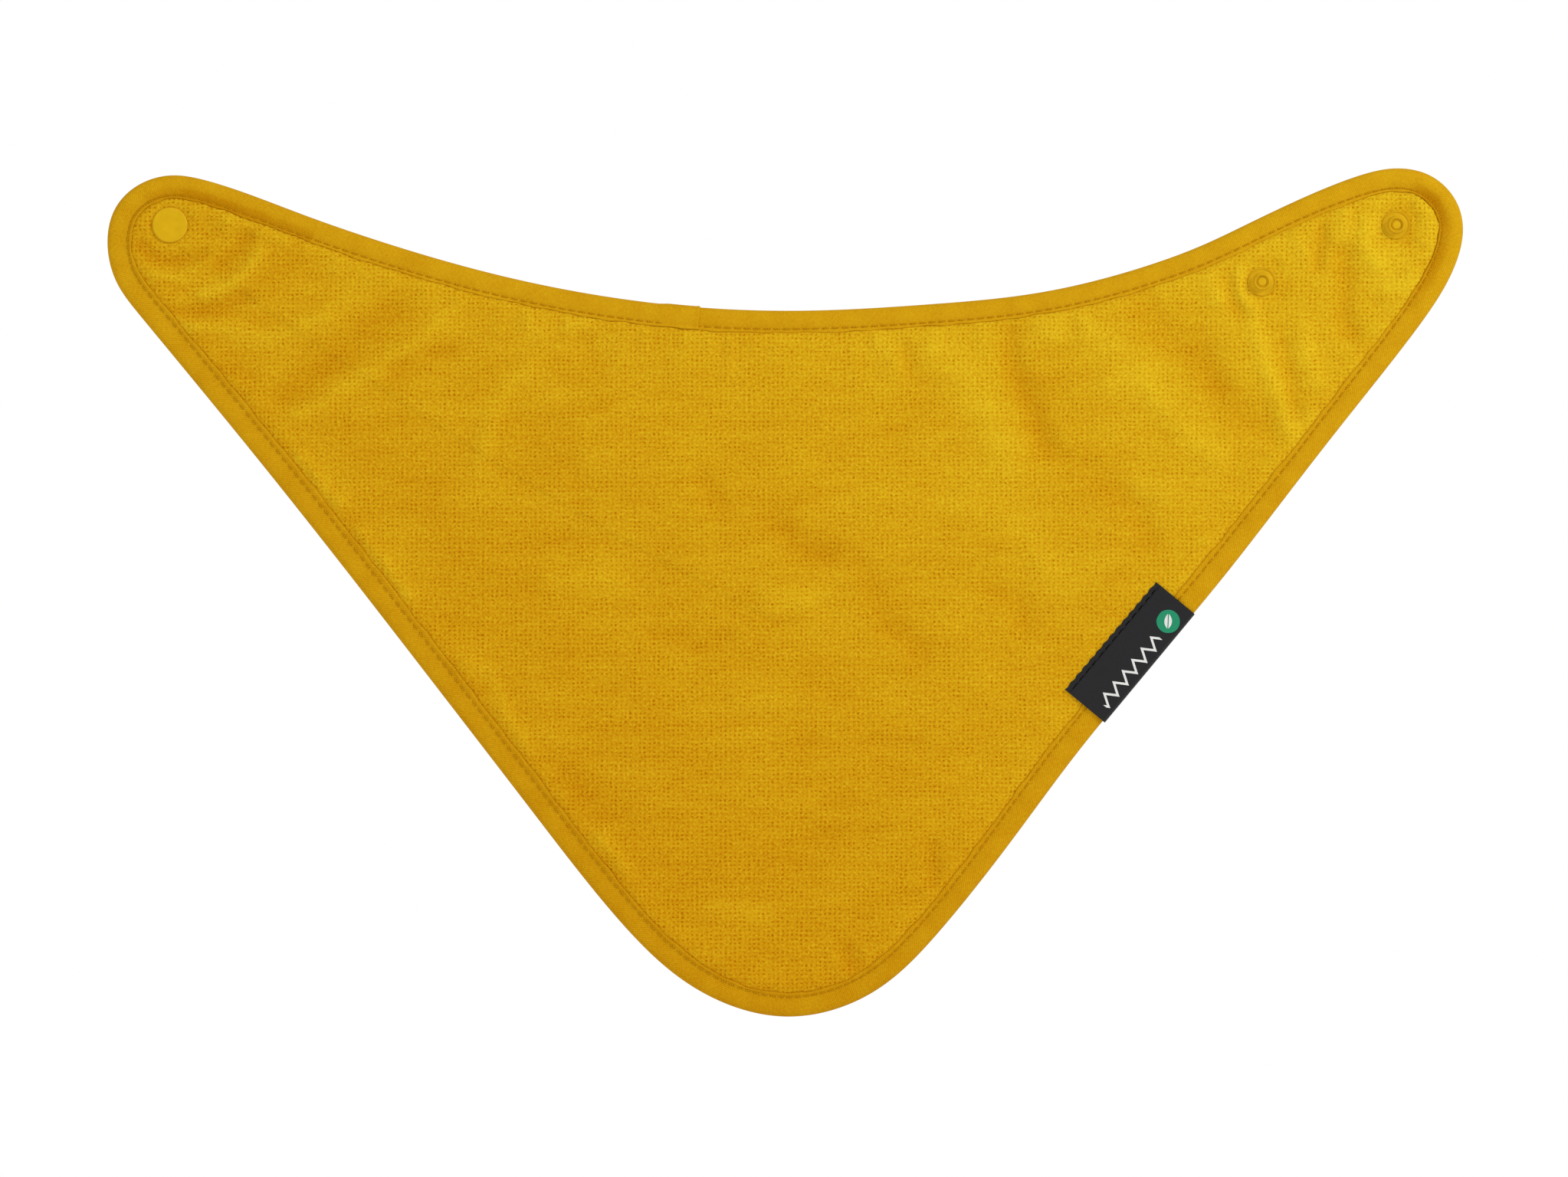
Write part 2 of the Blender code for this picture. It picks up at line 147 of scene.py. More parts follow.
def soft_noise(x, z, size, seed, stretch=1.0):
    """Smooth bumps of about this size in mm, from -1 to 1, longer along x by stretch."""
    found = np.zeros_like(x)
    rng = np.random.default_rng(seed)
    for _ in range(14):
        turn = rng.uniform(0, math.pi)
        rate = 2 * math.pi / (size * rng.uniform(1.4, 3.2))
        wave = (x * math.cos(turn) / stretch + z * math.sin(turn)) * rate
        found += np.sin(wave + rng.uniform(0, 2 * math.pi))
    return found / 5


# Where the seam and the tape's inner edge run, as (along the edge from the left of the neckline,
# inside the edge to the seam, inside the edge to the lip), in mm: it is fed by hand, so it wanders.
TAPE_RUN = [
    (0, 6.0, 7.1), (50, 6.0, 7.2), (100, 5.8, 6.9), (160, 5.5, 6.7), (230, 5.5, 6.6), (300, 5.5, 6.9),
    (345, 6.2, 7.1), (375, 6.5, 7.4), (410, 6.0, 7.4), (450, 5.5, 7.1), (480, 6.0, 7.7), (540, 6.4, 7.9),
    (590, 6.3, 7.8), (620, 5.7, 7.4), (660, 5.8, 7.2), (700, 6.0, 7.1), (740, 6.0, 7.4), (800, 6.0, 7.7),
    (900, 6.1, 7.9), (960, 6.2, 7.7), (1000, 6.2, 7.4), (1040, 6.0, 7.1),
]


def tape_run(stations, column):
    """How far inside the edge the seam (column 1) or the lip (column 2) runs, in mm."""
    knots = np.array(TAPE_RUN + [(perimeter, *TAPE_RUN[0][1:])])
    return np.interp(np.mod(stations, perimeter), knots[:, 0], knots[:, column])


# Where the cloth rises and sinks, painted lighter on crests and darker in creases: the points that each
# fold runs through, its half width in mm, and its strength, from about -1.6 (a deep crease) to 1.3 (a sharp
# crest).
FOLDS = [
    # hanging from the right half of the neckline
    (((69, -7), (68, -14), (71, -22), (75, -31), (77, -39)), 4.0, -1.6),
    (((80, -41), (86, -47), (92, -48), (98, -54), (105, -58), (110, -70)), 4.2, -0.9),
    (((78, -16), (84, -30), (90, -40)), 6.0, -0.45),
    (((108, 2), (113, -4), (120, -12), (127, -20), (131, -28), (144, -34)), 5.6, -1.15),
    (((123, -1), (126, -12), (131, -22)), 4.2, -0.7),
    (((150, -10), (152, -20), (154, -30)), 2.3, -0.9),
    (((45, -11), (53, -19), (60, -28), (64, -38), (67, -48)), 6.0, 1.05),
    (((56, -58), (68, -64)), 7.0, 0.5),
    (((93, -6), (98, -11), (107, -17)), 5.0, 0.75),
    (((98, -22), (108, -22), (115, -31), (122, -38), (130, -44)), 3.8, 1.0),
    (((141, -5), (144, -15), (147, -23), (151, -35)), 2.8, 1.2),
    (((156, -5), (157, -14), (160, -22)), 3.0, 0.9),
    (((30, -9), (33, -17)), 2.5, 0.7),
    (((36, -11), (38, -18)), 2.2, -0.6),
    (((42, -25), (36, -33), (33, -38)), 5.0, -0.6),
    (((77, -4), (80, -7)), 3.0, 0.8),
    (((107, -53), (115, -54)), 3.2, 0.7),
    (((75, -73), (79, -78)), 4.0, 0.7),
    # between and round the studs
    (((162, 28), (161, 20), (160, 14)), 2.2, -1.3),
    (((168, 17), (169, 8), (168, 0), (170, -6)), 3.5, -1.5),
    (((186, 35), (188, 28), (187, 22)), 3.0, -1.2),
    (((134, 12), (134, 4), (136, 0)), 2.2, -0.8),
    (((137, 12), (137, 5), (141, 0)), 2.0, 1.2),
    (((127, 9), (130, 4)), 3.0, 0.9),
    (((147, 14), (151, 9), (148, 3)), 2.0, -0.5),
    (((175, 27), (174, 20), (178, 14)), 3.0, 1.3),
    (((167, 29), (168, 22)), 2.5, 0.9),
    (((181, 8), (190, 8)), 3.0, 0.7),
    (((176, 2), (183, 2)), 2.4, -0.6),
    # sweeping up from the lower left edge
    (((-150, -26), (-140, -18), (-128, -8), (-118, 0)), 4.2, -0.8),
    (((-146, -31), (-138, -27), (-130, -21), (-120, -15), (-109, -8), (-103, -2)), 3.0, 1.05),
    (((-117, -18), (-109, -15), (-102, -13)), 3.0, -0.95),
    (((-182, -4), (-170, -5), (-158, -8), (-148, -6), (-138, -2)), 3.2, 1.1),
    (((-92, -46), (-88, -31), (-83, -22), (-77, -17)), 3.0, 0.85),
    (((-170, -18), (-161, -19)), 2.4, -0.6),
    (((-134, 3), (-123, 10)), 5.0, 0.55),
    (((-167, 28), (-158, 24), (-151, 22)), 2.5, 0.7),
    (((-158, 10), (-147, 14), (-138, 8)), 4.0, -0.45),
    (((-148, -44), (-142, -49)), 3.0, 1.0),
    (((-139, -55), (-134, -57)), 2.0, 1.0),
    (((-128, -68), (-120, -78), (-114, -85)), 2.6, 0.9),
    (((-96, -106), (-89, -109), (-85, -119), (-79, -131)), 2.6, 0.8),
    (((-56, -158), (-48, -168)), 2.2, 0.9),
    # round the cap
    (((-194, 20), (-190, 15), (-183, 15), (-176, 17)), 2.2, -1.3),
    (((-190, 11), (-183, 10), (-176, 13)), 2.0, 0.8),
    (((-188, 0), (-178, -1), (-170, 1), (-163, 4)), 2.4, -1.4),
    (((-175, 5), (-168, 7), (-162, 12), (-158, 17)), 2.2, 1.35),
    (((-170, 14), (-165, 18), (-162, 23)), 2.6, -1.2),
    (((-176, 26), (-172, 24)), 3.6, -0.7),
    # over the chest
    (((-3, -63), (3, -70), (12, -73)), 5.0, -1.1),
    (((-5, -86), (4, -87)), 4.0, 1.0),
    (((-71, -81), (-62, -81), (-50, -82)), 3.6, 0.9),
    (((-80, -48), (-66, -46), (-61, -52), (-62, -58)), 4.0, -0.65),
    (((-83, -31), (-75, -36), (-70, -36)), 5.0, -0.5),
    (((-67, -68), (-54, -69)), 3.0, -0.7),
    (((-25, -50), (-20, -58)), 3.6, -0.8),
    (((-60, -10), (-56, -16)), 4.0, -0.6),
    (((-65, -5), (-61, -4)), 3.0, 0.9),
    (((-77, -4), (-73, -7)), 3.0, 0.7),
    (((-29, -8), (-31, -16)), 4.5, 0.6),
    (((34, -97), (40, -102)), 4.0, -0.9),
    (((62, -84), (70, -88), (72, -94)), 4.0, -0.75),
    (((49, -94), (56, -103), (58, -112)), 6.0, 0.45),
    (((22, -76), (28, -88), (30, -94)), 3.0, -0.5),
    (((-40, -97), (-30, -97)), 2.2, -0.6),
    (((-27, -102), (-17, -98)), 2.6, -0.6),
    (((-13, -118), (8, -117)), 4.0, 0.5),
    (((5, -130), (28, -130), (41, -131)), 2.6, -0.5),
    (((-65, -141), (-58, -148), (-49, -153)), 4.4, -0.65),
    (((8, -158), (27, -157)), 2.6, -0.45),
    (((44, -161), (45, -171)), 2.6, -0.9),
    (((18, -193), (20, -197)), 3.0, -0.9),
    (((-21, -180), (-8, -182)), 4.0, 0.5),
]
CREST_HEIGHT = 0.7

# The level of the towelling's face in mm, where the tape grips it and where the snaps press it flat.
GRIPPED_LEVEL, PRESSED_LEVEL = 2.25, 2.9
BRUSHED_UP_AT = 392  # mm along the edge, just below the right end, where the pile covers the tape's lip
TOWELLING_TUCKS = 9.0  # mm that the tucks at the seam run into the towelling
SNAPS_AT = [(-185.1, 25.7), (183.9, 25.7), (143.5, 8.6)]


def folds_lean(x, z):
    """How strongly the folds reach each point: above 0 on a crest, below 0 in a crease."""
    lean = np.zeros_like(x)
    for points, half_width, strength in FOLDS:
        points = np.array(points, float)
        here = (x > points[:, 0].min() - 3 * half_width) & (x < points[:, 0].max() + 3 * half_width)
        here &= (z > points[:, 1].min() - 3 * half_width) & (z < points[:, 1].max() + 3 * half_width)
        here_x, here_z = x[here], z[here]
        reach = np.zeros_like(here_x)
        for start, end in zip(points, points[1:]):
            run = end - start
            from_x, from_z = here_x - start[0], here_z - start[1]
            along = np.clip((from_x * run[0] + from_z * run[1]) / (run @ run), 0, 1)
            away = (from_x - along * run[0]) ** 2 + (from_z - along * run[1]) ** 2
            reach = np.maximum(reach, np.exp(-away / half_width**2))
        lean[here] += strength * reach
    return lean


def gathers_rise(along, inside, length):
    """Small tucks that run inwards from the seam, where the tape has drawn the cloth in."""
    rng = np.random.default_rng(11)
    rise = np.zeros_like(along)
    place = 0.0
    while place < perimeter:
        place += rng.uniform(5.5, 13)
        half_width = rng.uniform(1.3, 2.8)
        reach = length * rng.uniform(0.5, 1.3)
        height = rng.uniform(0.15, 0.6)
        aside = (along - place + perimeter / 2) % perimeter - perimeter / 2
        rise += height * hump(aside, 0, half_width) * hump(inside, 8, reach) * (inside > 4)
    return rise


def faces_lower_left(inwards):
    """1 where the edge looks to the lower left, and the tape has rolled up towards its lip; 0 elsewhere."""
    return smooth(inwards[:, 0] * 0.78 + inwards[:, 1] * 0.62, 0.15, 0.85)


def towelling_forward(x, z, inside, nearest):
    """How far the towelling's face stands in front of the bib's back, in mm."""
    along = edge_along[nearest]
    seam, lip = tape_run(along, 1), tape_run(along, 2)
    # Round the neckline and the right end the pile stands up over the tape's lip, as far as the seam.
    round_end = 0.6 * hump(along, BRUSHED_UP_AT, 20)
    over_lip = smooth(round_end - edge_inwards[nearest, 1] - 0.5 * edge_inwards[nearest, 0], -0.1, 0.5)
    past_lip = inside - lip + over_lip * (lip - seam - 1.0)
    # At the lower left the rolled lip stands against the pile, with no gap between them.
    up_to_lip = 0.3 * (1 - over_lip) + 0.3 * faces_lower_left(edge_inwards[nearest])
    free = smooth(past_lip, -0.4, 3.2)
    swell = soft_noise(x, z, 16, 3) * 0.28 + soft_noise(x, z, 6, 4) * 0.09
    swell += soft_noise(x, z, 34, 5, 1.4) * 0.5
    face = GRIPPED_LEVEL + free * 0.2
    face += (0.8 + 0.35 * over_lip) * smooth(past_lip + up_to_lip, -0.2, 0.7)
    face += 0.15 * hump(past_lip, 2.5, 2.0)
    face += free * (CREST_HEIGHT * folds_lean(x, z) + 0.5 * swell)
    face += free * gathers_rise(along, inside, TOWELLING_TUCKS)
    for at_x, at_z in SNAPS_AT:
        far = np.hypot(x - at_x, z - at_z)
        held = 1 - smooth(far, 4.2, 7.8)
        face = face * (1 - held) + PRESSED_LEVEL * held
    return face


def grid_in_outline(name, step, inset):
    """A flat grid of quads that fills the outline moved in by inset, its rim pulled onto that line."""
    width, depth, middle_z = 412.0, 260.0, -85.0
    columns, rows = round(width / step), round(depth / step)
    bpy.ops.object.select_all(action="DESELECT")
    bpy.ops.mesh.primitive_grid_add(x_subdivisions=columns, y_subdivisions=rows, size=1)
    sheet = bpy.context.object
    sheet.name = name
    mesh = sheet.data

    def places():
        """Each point's x and z in mm, how far inside the moved outline it is, and its edge point."""
        flat = np.empty(len(mesh.vertices) * 3)
        mesh.vertices.foreach_get("co", flat)
        x, z = flat[0::3] * width, flat[1::3] * depth + middle_z
        inside, nearest = from_edge(x, z)
        return x, z, inside - inset, nearest

    x, z, inside, nearest = places()
    shape = bmesh.new()
    shape.from_mesh(mesh)
    shape.verts.ensure_lookup_table()
    outside = [shape.verts[i] for i in np.flatnonzero(inside < 0)]
    bmesh.ops.delete(shape, geom=outside, context="VERTS")
    loose = [v for v in shape.verts if len(v.link_faces) < 2]
    bmesh.ops.delete(shape, geom=loose, context="VERTS")
    rim = np.array([v.is_boundary for v in shape.verts])
    shape.to_mesh(mesh)
    shape.free()
    x, z, inside, nearest = places()
    x = np.where(rim, x - inside * edge_inwards[nearest, 0], x)
    z = np.where(rim, z - inside * edge_inwards[nearest, 1], z)
    return sheet, x, z


def set_flat_map(mesh, across, down):
    """A UV map of each corner's place on the flat cloth, in metres, so that a weave follows the cloth."""
    layer = mesh.uv_layers[0] if mesh.uv_layers else mesh.uv_layers.new(name="flat")
    layer.name = "flat"
    corners = np.empty(len(mesh.loops), np.int32)
    mesh.loops.foreach_get("vertex_index", corners)
    places = np.stack([across[corners], down[corners]], axis=1)
    layer.data.foreach_set("uv", places.ravel().astype(np.float32))


def place_points(mesh, x_mm, forward_mm, z_mm):
    """Moves a mesh's points to these places across, in front of the back's plane, and up."""
    mesh.vertices.foreach_set("co", (np.stack([x_mm, -forward_mm, z_mm], axis=1) / 1000).ravel())
    mesh.update()


def select_only(piece):
    """Selects this piece and nothing else, for the operators that act on what is selected."""
    bpy.ops.object.select_all(action="DESELECT")
    piece.select_set(True)
    bpy.context.view_layer.objects.active = piece


def new_object(name, data):
    """A new object in the scene for this mesh, light or camera."""
    made = bpy.data.objects.new(name, data)
    bpy.context.scene.collection.objects.link(made)
    return made


def thicken(sheet, thickness, smooth_up_to):
    """Gives a sheet its thickness in mm behind its face, and shades bends up to this angle smooth."""
    select_only(sheet)
    wall = sheet.modifiers.new("thickness", "SOLIDIFY")
    wall.thickness = thickness / 1000
    wall.offset, wall.use_rim, wall.use_even_offset = -1, True, False
    bpy.ops.object.modifier_apply(modifier=wall.name)
    bpy.ops.object.shade_smooth_by_angle(angle=math.radians(smooth_up_to))


# The bib is parted at four fold lines. Each layer is made whole, then parted where it stays flat between
# two folds: (name of the part and of its outer body, from x, to x, its inner body, half the bend's run
# from the inner body to the outer), in mm.
PARTS = [
    ("left_end", -300, -93, "left_shoulder", -24),
    ("left_shoulder", -93, 0, "chest", -24),
    ("right_shoulder", 0, 93, "chest", 24),
    ("right_end", 93, 300, "right_shoulder", 14),
]


def bend(piece):
    """Bakes a piece's placing into its mesh; nothing makes it bend."""
    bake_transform(piece)


def part_at_folds(whole):
    """Cuts a whole layer into parts that keep its shading, so that no join shows: {part name: piece}."""
    shape = bmesh.new()
    shape.from_mesh(whole.data)
    for _, low, *_ in PARTS[1:]:
        bmesh.ops.bisect_plane(
            shape, geom=shape.verts[:] + shape.edges[:] + shape.faces[:], dist=1e-6,
            plane_co=(low / 1000, 0, 0), plane_no=(1, 0, 0),
        )
    shape.to_mesh(whole.data)
    shape.free()
    normals = np.empty(len(whole.data.loops) * 3, np.float32)
    whole.data.corner_normals.foreach_get("vector", normals)
    stored = whole.data.attributes.new("whole_normal", "FLOAT_VECTOR", "CORNER")
    stored.data.foreach_set("vector", normals)
    pieces = {}
    for part in PARTS:
        name, low, high = part[:3]
        mesh = whole.data.copy()
        shape = bmesh.new()
        shape.from_mesh(mesh)
        beyond = [f for f in shape.faces if not low / 1000 <= f.calc_center_median().x < high / 1000]
        bmesh.ops.delete(shape, geom=beyond, context="FACES")
        bmesh.ops.holes_fill(shape, edges=[e for e in shape.edges if e.is_boundary], sides=0)
        shape.to_mesh(mesh)
        shape.free()
        kept = np.empty(len(mesh.loops) * 3, np.float32)
        mesh.attributes["whole_normal"].data.foreach_get("vector", kept)
        mesh.normals_split_custom_set(kept.reshape(-1, 3).tolist())
        mesh.attributes.remove(mesh.attributes["whole_normal"])
        piece = new_object(f"{whole.name}_{name}", mesh)
        bend(piece)
        pieces[name] = piece
    bpy.data.objects.remove(whole)
    return pieces


def srgb(hex_value):
    """The linear colour of an sRGB hex value."""
    parts = [int(hex_value[i : i + 2], 16) / 255 for i in (1, 3, 5)]
    return (*[c / 12.92 if c <= 0.04045 else ((c + 0.055) / 1.055) ** 2.4 for c in parts], 1)


def new_material(name, plain):
    """A new material with these plain values on its shader's own sockets, its node tree and its shader."""
    made = bpy.data.materials.new(name)
    made.use_nodes = True
    shader = made.node_tree.nodes["Principled BSDF"]
    for socket, value in plain.items():
        shader.inputs[socket].default_value = value
    return made, made.node_tree, shader


def add(tree, kind, inputs=None, stops=(), **settings):
    """Adds a node with its settings. Its inputs take plain values, other nodes' outputs, or a node itself,
    which stands for its first output. A colour ramp's stops are (position, hex colour), left to right."""
    node = tree.nodes.new(kind)
    for name, value in settings.items():
        setattr(node, name, value)
    for index, (position, colour) in enumerate(stops):
        found = node.color_ramp.elements
        stop = found[index] if index < 2 else found.new(position)
        stop.position, stop.color = position, srgb(colour)
    for name, value in (inputs or {}).items():
        if isinstance(value, bpy.types.Node):
            value = value.outputs[0]
        if isinstance(value, bpy.types.NodeSocket):
            tree.links.new(value, node.inputs[name])
        else:
            node.inputs[name].default_value = value
    return node


def flat_millimetres(tree, degrees=0):
    """Each point's place on the flat cloth in mm, turned by so many degrees."""
    place = add(tree, "ShaderNodeUVMap", uv_map="flat")
    turn = (0, 0, math.radians(degrees))
    return add(tree, "ShaderNodeMapping", {"Vector": place, "Rotation": turn, "Scale": (1000, 1000, 1000)})


# Cotton velour has no shine: its fibre ends scatter the light, and their edges catch a faint yellow
# sheen. Its colour runs from deep orange to lemon, and painted light and shade move it along that run.
cotton = {"Specular Tint": srgb("#f0c020"), "Sheen Tint": srgb("#f0c81e")}
cotton |= {"Sheen Weight": 0.1, "Sheen Roughness": 0.4}
towelling, tree, shader = new_material(
    "cotton velour towelling, mustard", cotton | {"Roughness": 0.95, "Specular IOR Level": 0.1}
)
millimetres = flat_millimetres(tree)
# The pile stands in tufts, in rows 1.31 mm and columns 1.43 mm apart, each pushed a little out of line.
waver = add(tree, "ShaderNodeTexNoise", {"Vector": millimetres, "Scale": 0.3, "Detail": 3})
shift = {0: waver.outputs["Color"], 1: (0.5, 0.5, 0.5)}
shift = add(tree, "ShaderNodeVectorMath", shift, operation="SUBTRACT")
shift = add(tree, "ShaderNodeVectorMath", {0: shift, "Scale": 1.5}, operation="SCALE")
pile_place = add(tree, "ShaderNodeVectorMath", {0: millimetres, 1: shift}, operation="ADD")
# A Wave node repeats every 0.314 / Scale.
columns = add(tree, "ShaderNodeTexWave", {"Vector": pile_place, "Scale": 0.314 / 1.43}, bands_direction="X")
rows = add(tree, "ShaderNodeTexWave", {"Vector": pile_place, "Scale": 0.314 / 1.31}, bands_direction="Y")
# Between the corners of four tufts the pile opens into a small pit, dented in the bump and painted dark as
# shade.
corners = add(tree, "ShaderNodeMath", {0: columns, 1: rows}, operation="MULTIPLY")
pits = {"Value": corners, "From Min": 0.15, "From Max": 1.0}
pits = add(tree, "ShaderNodeMapRange", pits, interpolation_type="SMOOTHSTEP")
# They are deep where the pile is thin, and closed where it is thick.
thin = add(tree, "ShaderNodeTexNoise", {"Vector": millimetres, "Scale": 0.3, "Detail": 3, "Roughness": 0.7})
depth = add(tree, "ShaderNodeMapRange", {"Value": thin, "From Min": 0.36, "From Max": 0.64, "To Min": 0.2})
pits = add(tree, "ShaderNodeMath", {0: pits, 1: depth}, operation="MULTIPLY")
# Single fibres are far too fine to show, so the fuzz is drawn in clumps of 0.6 mm.
fuzz = {"Vector": millimetres, "Scale": 1.15, "Detail": 3, "Roughness": 0.8}
fibres = add(tree, "ShaderNodeTexNoise", fuzz)
# Long streaks where the brush has passed, and slow drifts of tone across the cloth.
brushed = add(tree, "ShaderNodeMapping", {"Vector": millimetres, "Scale": (0.22, 1, 1)})
brushed = {"Vector": brushed, "Scale": 0.22, "Detail": 3, "Roughness": 0.55}
streaks = add(tree, "ShaderNodeTexNoise", brushed)
drifts = add(tree, "ShaderNodeTexNoise", {"Vector": millimetres, "Scale": 0.045, "Detail": 2})
# Painted light and shade from the folds: lighter on their crests and tucks, darker in their creases.
painted_light_and_shade = add(tree, "ShaderNodeAttribute", attribute_name="painted_light_and_shade")
# Painted light: the colour grows lighter and yellower towards the top and the right, where the lamp is.
across_cloth = add(tree, "ShaderNodeSeparateXYZ", {"Vector": millimetres})
tone = -0.1
for source, weight in (
    (across_cloth.outputs["Y"], 0.0006), (across_cloth.outputs["X"], 0.00035), (pits, -0.34),
    (fibres, 1.0), (streaks, 0.2), (drifts, 0.15), (painted_light_and_shade.outputs["Fac"], 0.075),
):
    tone = add(tree, "ShaderNodeMath", {0: source, 1: weight, 2: tone}, operation="MULTIPLY_ADD")
stops = (0.15, "#b66a02"), (0.5, "#cf9a10"), (0.85, "#e6c423")
yarn = add(tree, "ShaderNodeValToRGB", {"Fac": tone}, stops)
tree.links.new(yarn.outputs["Color"], shader.inputs["Base Color"])
pile = add(tree, "ShaderNodeMath", {0: pits, 1: -0.6, 2: fibres}, operation="MULTIPLY_ADD")
pile_bump = add(tree, "ShaderNodeBump", {"Height": pile, "Strength": 0.6, "Distance": 0.0004})
tree.links.new(pile_bump.outputs["Normal"], shader.inputs["Normal"])

GRID_STEP, CLOTH_INSET = 0.8, 2.0
front, x_mm, z_mm = grid_in_outline("front", GRID_STEP, CLOTH_INSET)
inside_mm, nearest = from_edge(x_mm, z_mm)
set_flat_map(front.data, x_mm / 1000, z_mm / 1000)
place_points(front.data, x_mm, towelling_forward(x_mm, z_mm, inside_mm, nearest), z_mm)
# Painted light and shade stored on the cloth: the folds' crests and the tucks lighter, creases darker.
painted_light_layer = front.data.attributes.new("painted_light_and_shade", "FLOAT", "POINT")
tucks = gathers_rise(edge_along[nearest], inside_mm, TOWELLING_TUCKS)
painted_light_layer.data.foreach_set("value", (folds_lean(x_mm, z_mm) + 0.9 * tucks).astype(np.float32))
front.data.materials.append(towelling)
thicken(front, 1.1, 60)
front = part_at_folds(front)


def cut_size(piece):
    """The size this piece of a two-sided sheet was cut to, from its flat map: (width, length) and area."""
    layer, mesh = piece.data.uv_layers["flat"], piece.data
    flat = np.empty(len(mesh.loops) * 2, np.float32)
    layer.data.foreach_get("uv", flat)
    flat = flat.reshape(-1, 2)
    area = 0.0
    for face in mesh.polygons:
        if len(face.vertices) <= 4:
            a = flat[face.loop_start : face.loop_start + face.loop_total]
            b = np.roll(a, -1, axis=0)
            area += abs(float((a[:, 0] * b[:, 1] - b[:, 0] * a[:, 1]).sum())) / 2
    width, length = (flat.max(axis=0) - flat.min(axis=0)).tolist()
    return (width, length), area / 2


def declare_cloth(pieces):
    """Works out the cut size and area of each part of a cloth, and keeps neither."""
    for name, piece in pieces.items():
        size, area = cut_size(piece)


for name, piece in front.items():
    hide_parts(f"towelling_{name}")
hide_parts("towelling_chest")


# ---- Waterproof back ---------------------------------------------------------------------------
# A thin panel the same shape as the front: plain-woven polyester with a waterproof coat on its inner
# side. It is light and springy, so it stays smoother than the towelling and has a faint sheen.

# Coated polyester is smooth and a little shiny: the plain weave shows as fine squares in a satin light.
backing, tree, shader = new_material("coated polyester cloth, mustard", {
    "Roughness": 0.52, "Specular IOR Level": 0.4, "Specular Tint": srgb("#f4d668"), "Sheen Weight": 0.08,
})
threads = flat_millimetres(tree)
# Real threads are 0.2 mm apart; drawn 0.9 mm apart, so that the weave shows.
weave_drawing = {"Vector": threads, "Scale": 0.35, "Distortion": 0.5, "Detail": 2}
warp = add(tree, "ShaderNodeTexWave", weave_drawing, bands_direction="X")
weft = add(tree, "ShaderNodeTexWave", weave_drawing, bands_direction="Y")
weave = add(tree, "ShaderNodeMath", {0: warp, 1: weft}, operation="MAXIMUM")
# Thicker threads lie here and there, and the dye takes a little unevenly.
slub_place = add(tree, "ShaderNodeMapping", {"Vector": threads, "Scale": (0.12, 1.1, 1)})
slubs = add(tree, "ShaderNodeTexNoise", {"Vector": slub_place, "Scale": 1.0, "Detail": 2})
dye = add(tree, "ShaderNodeTexNoise", {"Vector": threads, "Scale": 0.05, "Detail": 3})
tone = 0.05
for source, weight in ((dye, 0.35), (weave, 0.45), (slubs, 0.3)):
    tone = add(tree, "ShaderNodeMath", {0: source, 1: weight, 2: tone}, operation="MULTIPLY_ADD")
backing_tone = add(tree, "ShaderNodeValToRGB", {"Fac": tone}, ((0.4, "#b77d06"), (0.9, "#c9930e")))
tree.links.new(backing_tone.outputs["Color"], shader.inputs["Base Color"])
weave_bump = add(tree, "ShaderNodeBump", {"Height": weave, "Strength": 0.35, "Distance": 0.00008})
tree.links.new(weave_bump.outputs["Normal"], shader.inputs["Normal"])


BACKING_LEVEL, BACKING_TUCKS = 0.74, 7.0


def backing_forward(x, z, inside, along):
    """How far the backing stands in front of the plane of the binding's back, in mm."""
    free = smooth(inside, 6.6, 11)
    slack = 0.35 + 0.4 * soft_noise(x, z, 26, 21, 1.5) + 0.12 * soft_noise(x, z, 9, 22)
    tucks = gathers_rise(along, inside, BACKING_TUCKS) * 0.5
    face = BACKING_LEVEL - free * (0.15 + np.clip(slack, 0, 1.4) + tucks)
    for at_x, at_z in SNAPS_AT:
        held = 1 - smooth(np.hypot(x - at_x, z - at_z), 5.2, 12)
        face = face * (1 - held) + (BACKING_LEVEL - 0.02) * held
    return face


back, x_mm, z_mm = grid_in_outline("back", 1.4, CLOTH_INSET)
inside_mm, nearest = from_edge(x_mm, z_mm)
set_flat_map(back.data, x_mm / 1000, z_mm / 1000)
place_points(back.data, x_mm, backing_forward(x_mm, z_mm, inside_mm, edge_along[nearest]), z_mm)
back.data.flip_normals()
back.data.materials.append(backing)
thicken(back, 0.2, 60)
back = part_at_folds(back)
for name, piece in back.items():
    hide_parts(f"backing_{name}")
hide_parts("backing_chest")
declare_cloth(front)


# ---- Binding -----------------------------------------------------------------------------------
# Bias tape, cut at 45 degrees from fine cotton jersey so that it bends round curves, folded over the
# whole edge with its own edges turned under. Its inner lip stands a little proud of the seam.

STITCH_COUNT = 372
STITCH_PITCH = perimeter / STITCH_COUNT
NOMINAL_SEAM, NOMINAL_LIP = 5.7, 7.04
SEAM_FRONT, SEAM_BACK, SECTION_MIDDLE = 2.74, 0.26, 1.62  # mm in front of the tape's back
RIGHT_END_TOP = 352  # mm along the edge, where it turns down round the right end
# Where painted shade darkens the tape beside the seam, as (mm along the edge, its reach, how much).
PAINTED_SEAM_SHADE = [(351, 11, 0.38), (376, 14, 0.25), (1052, 32, 0.3)]

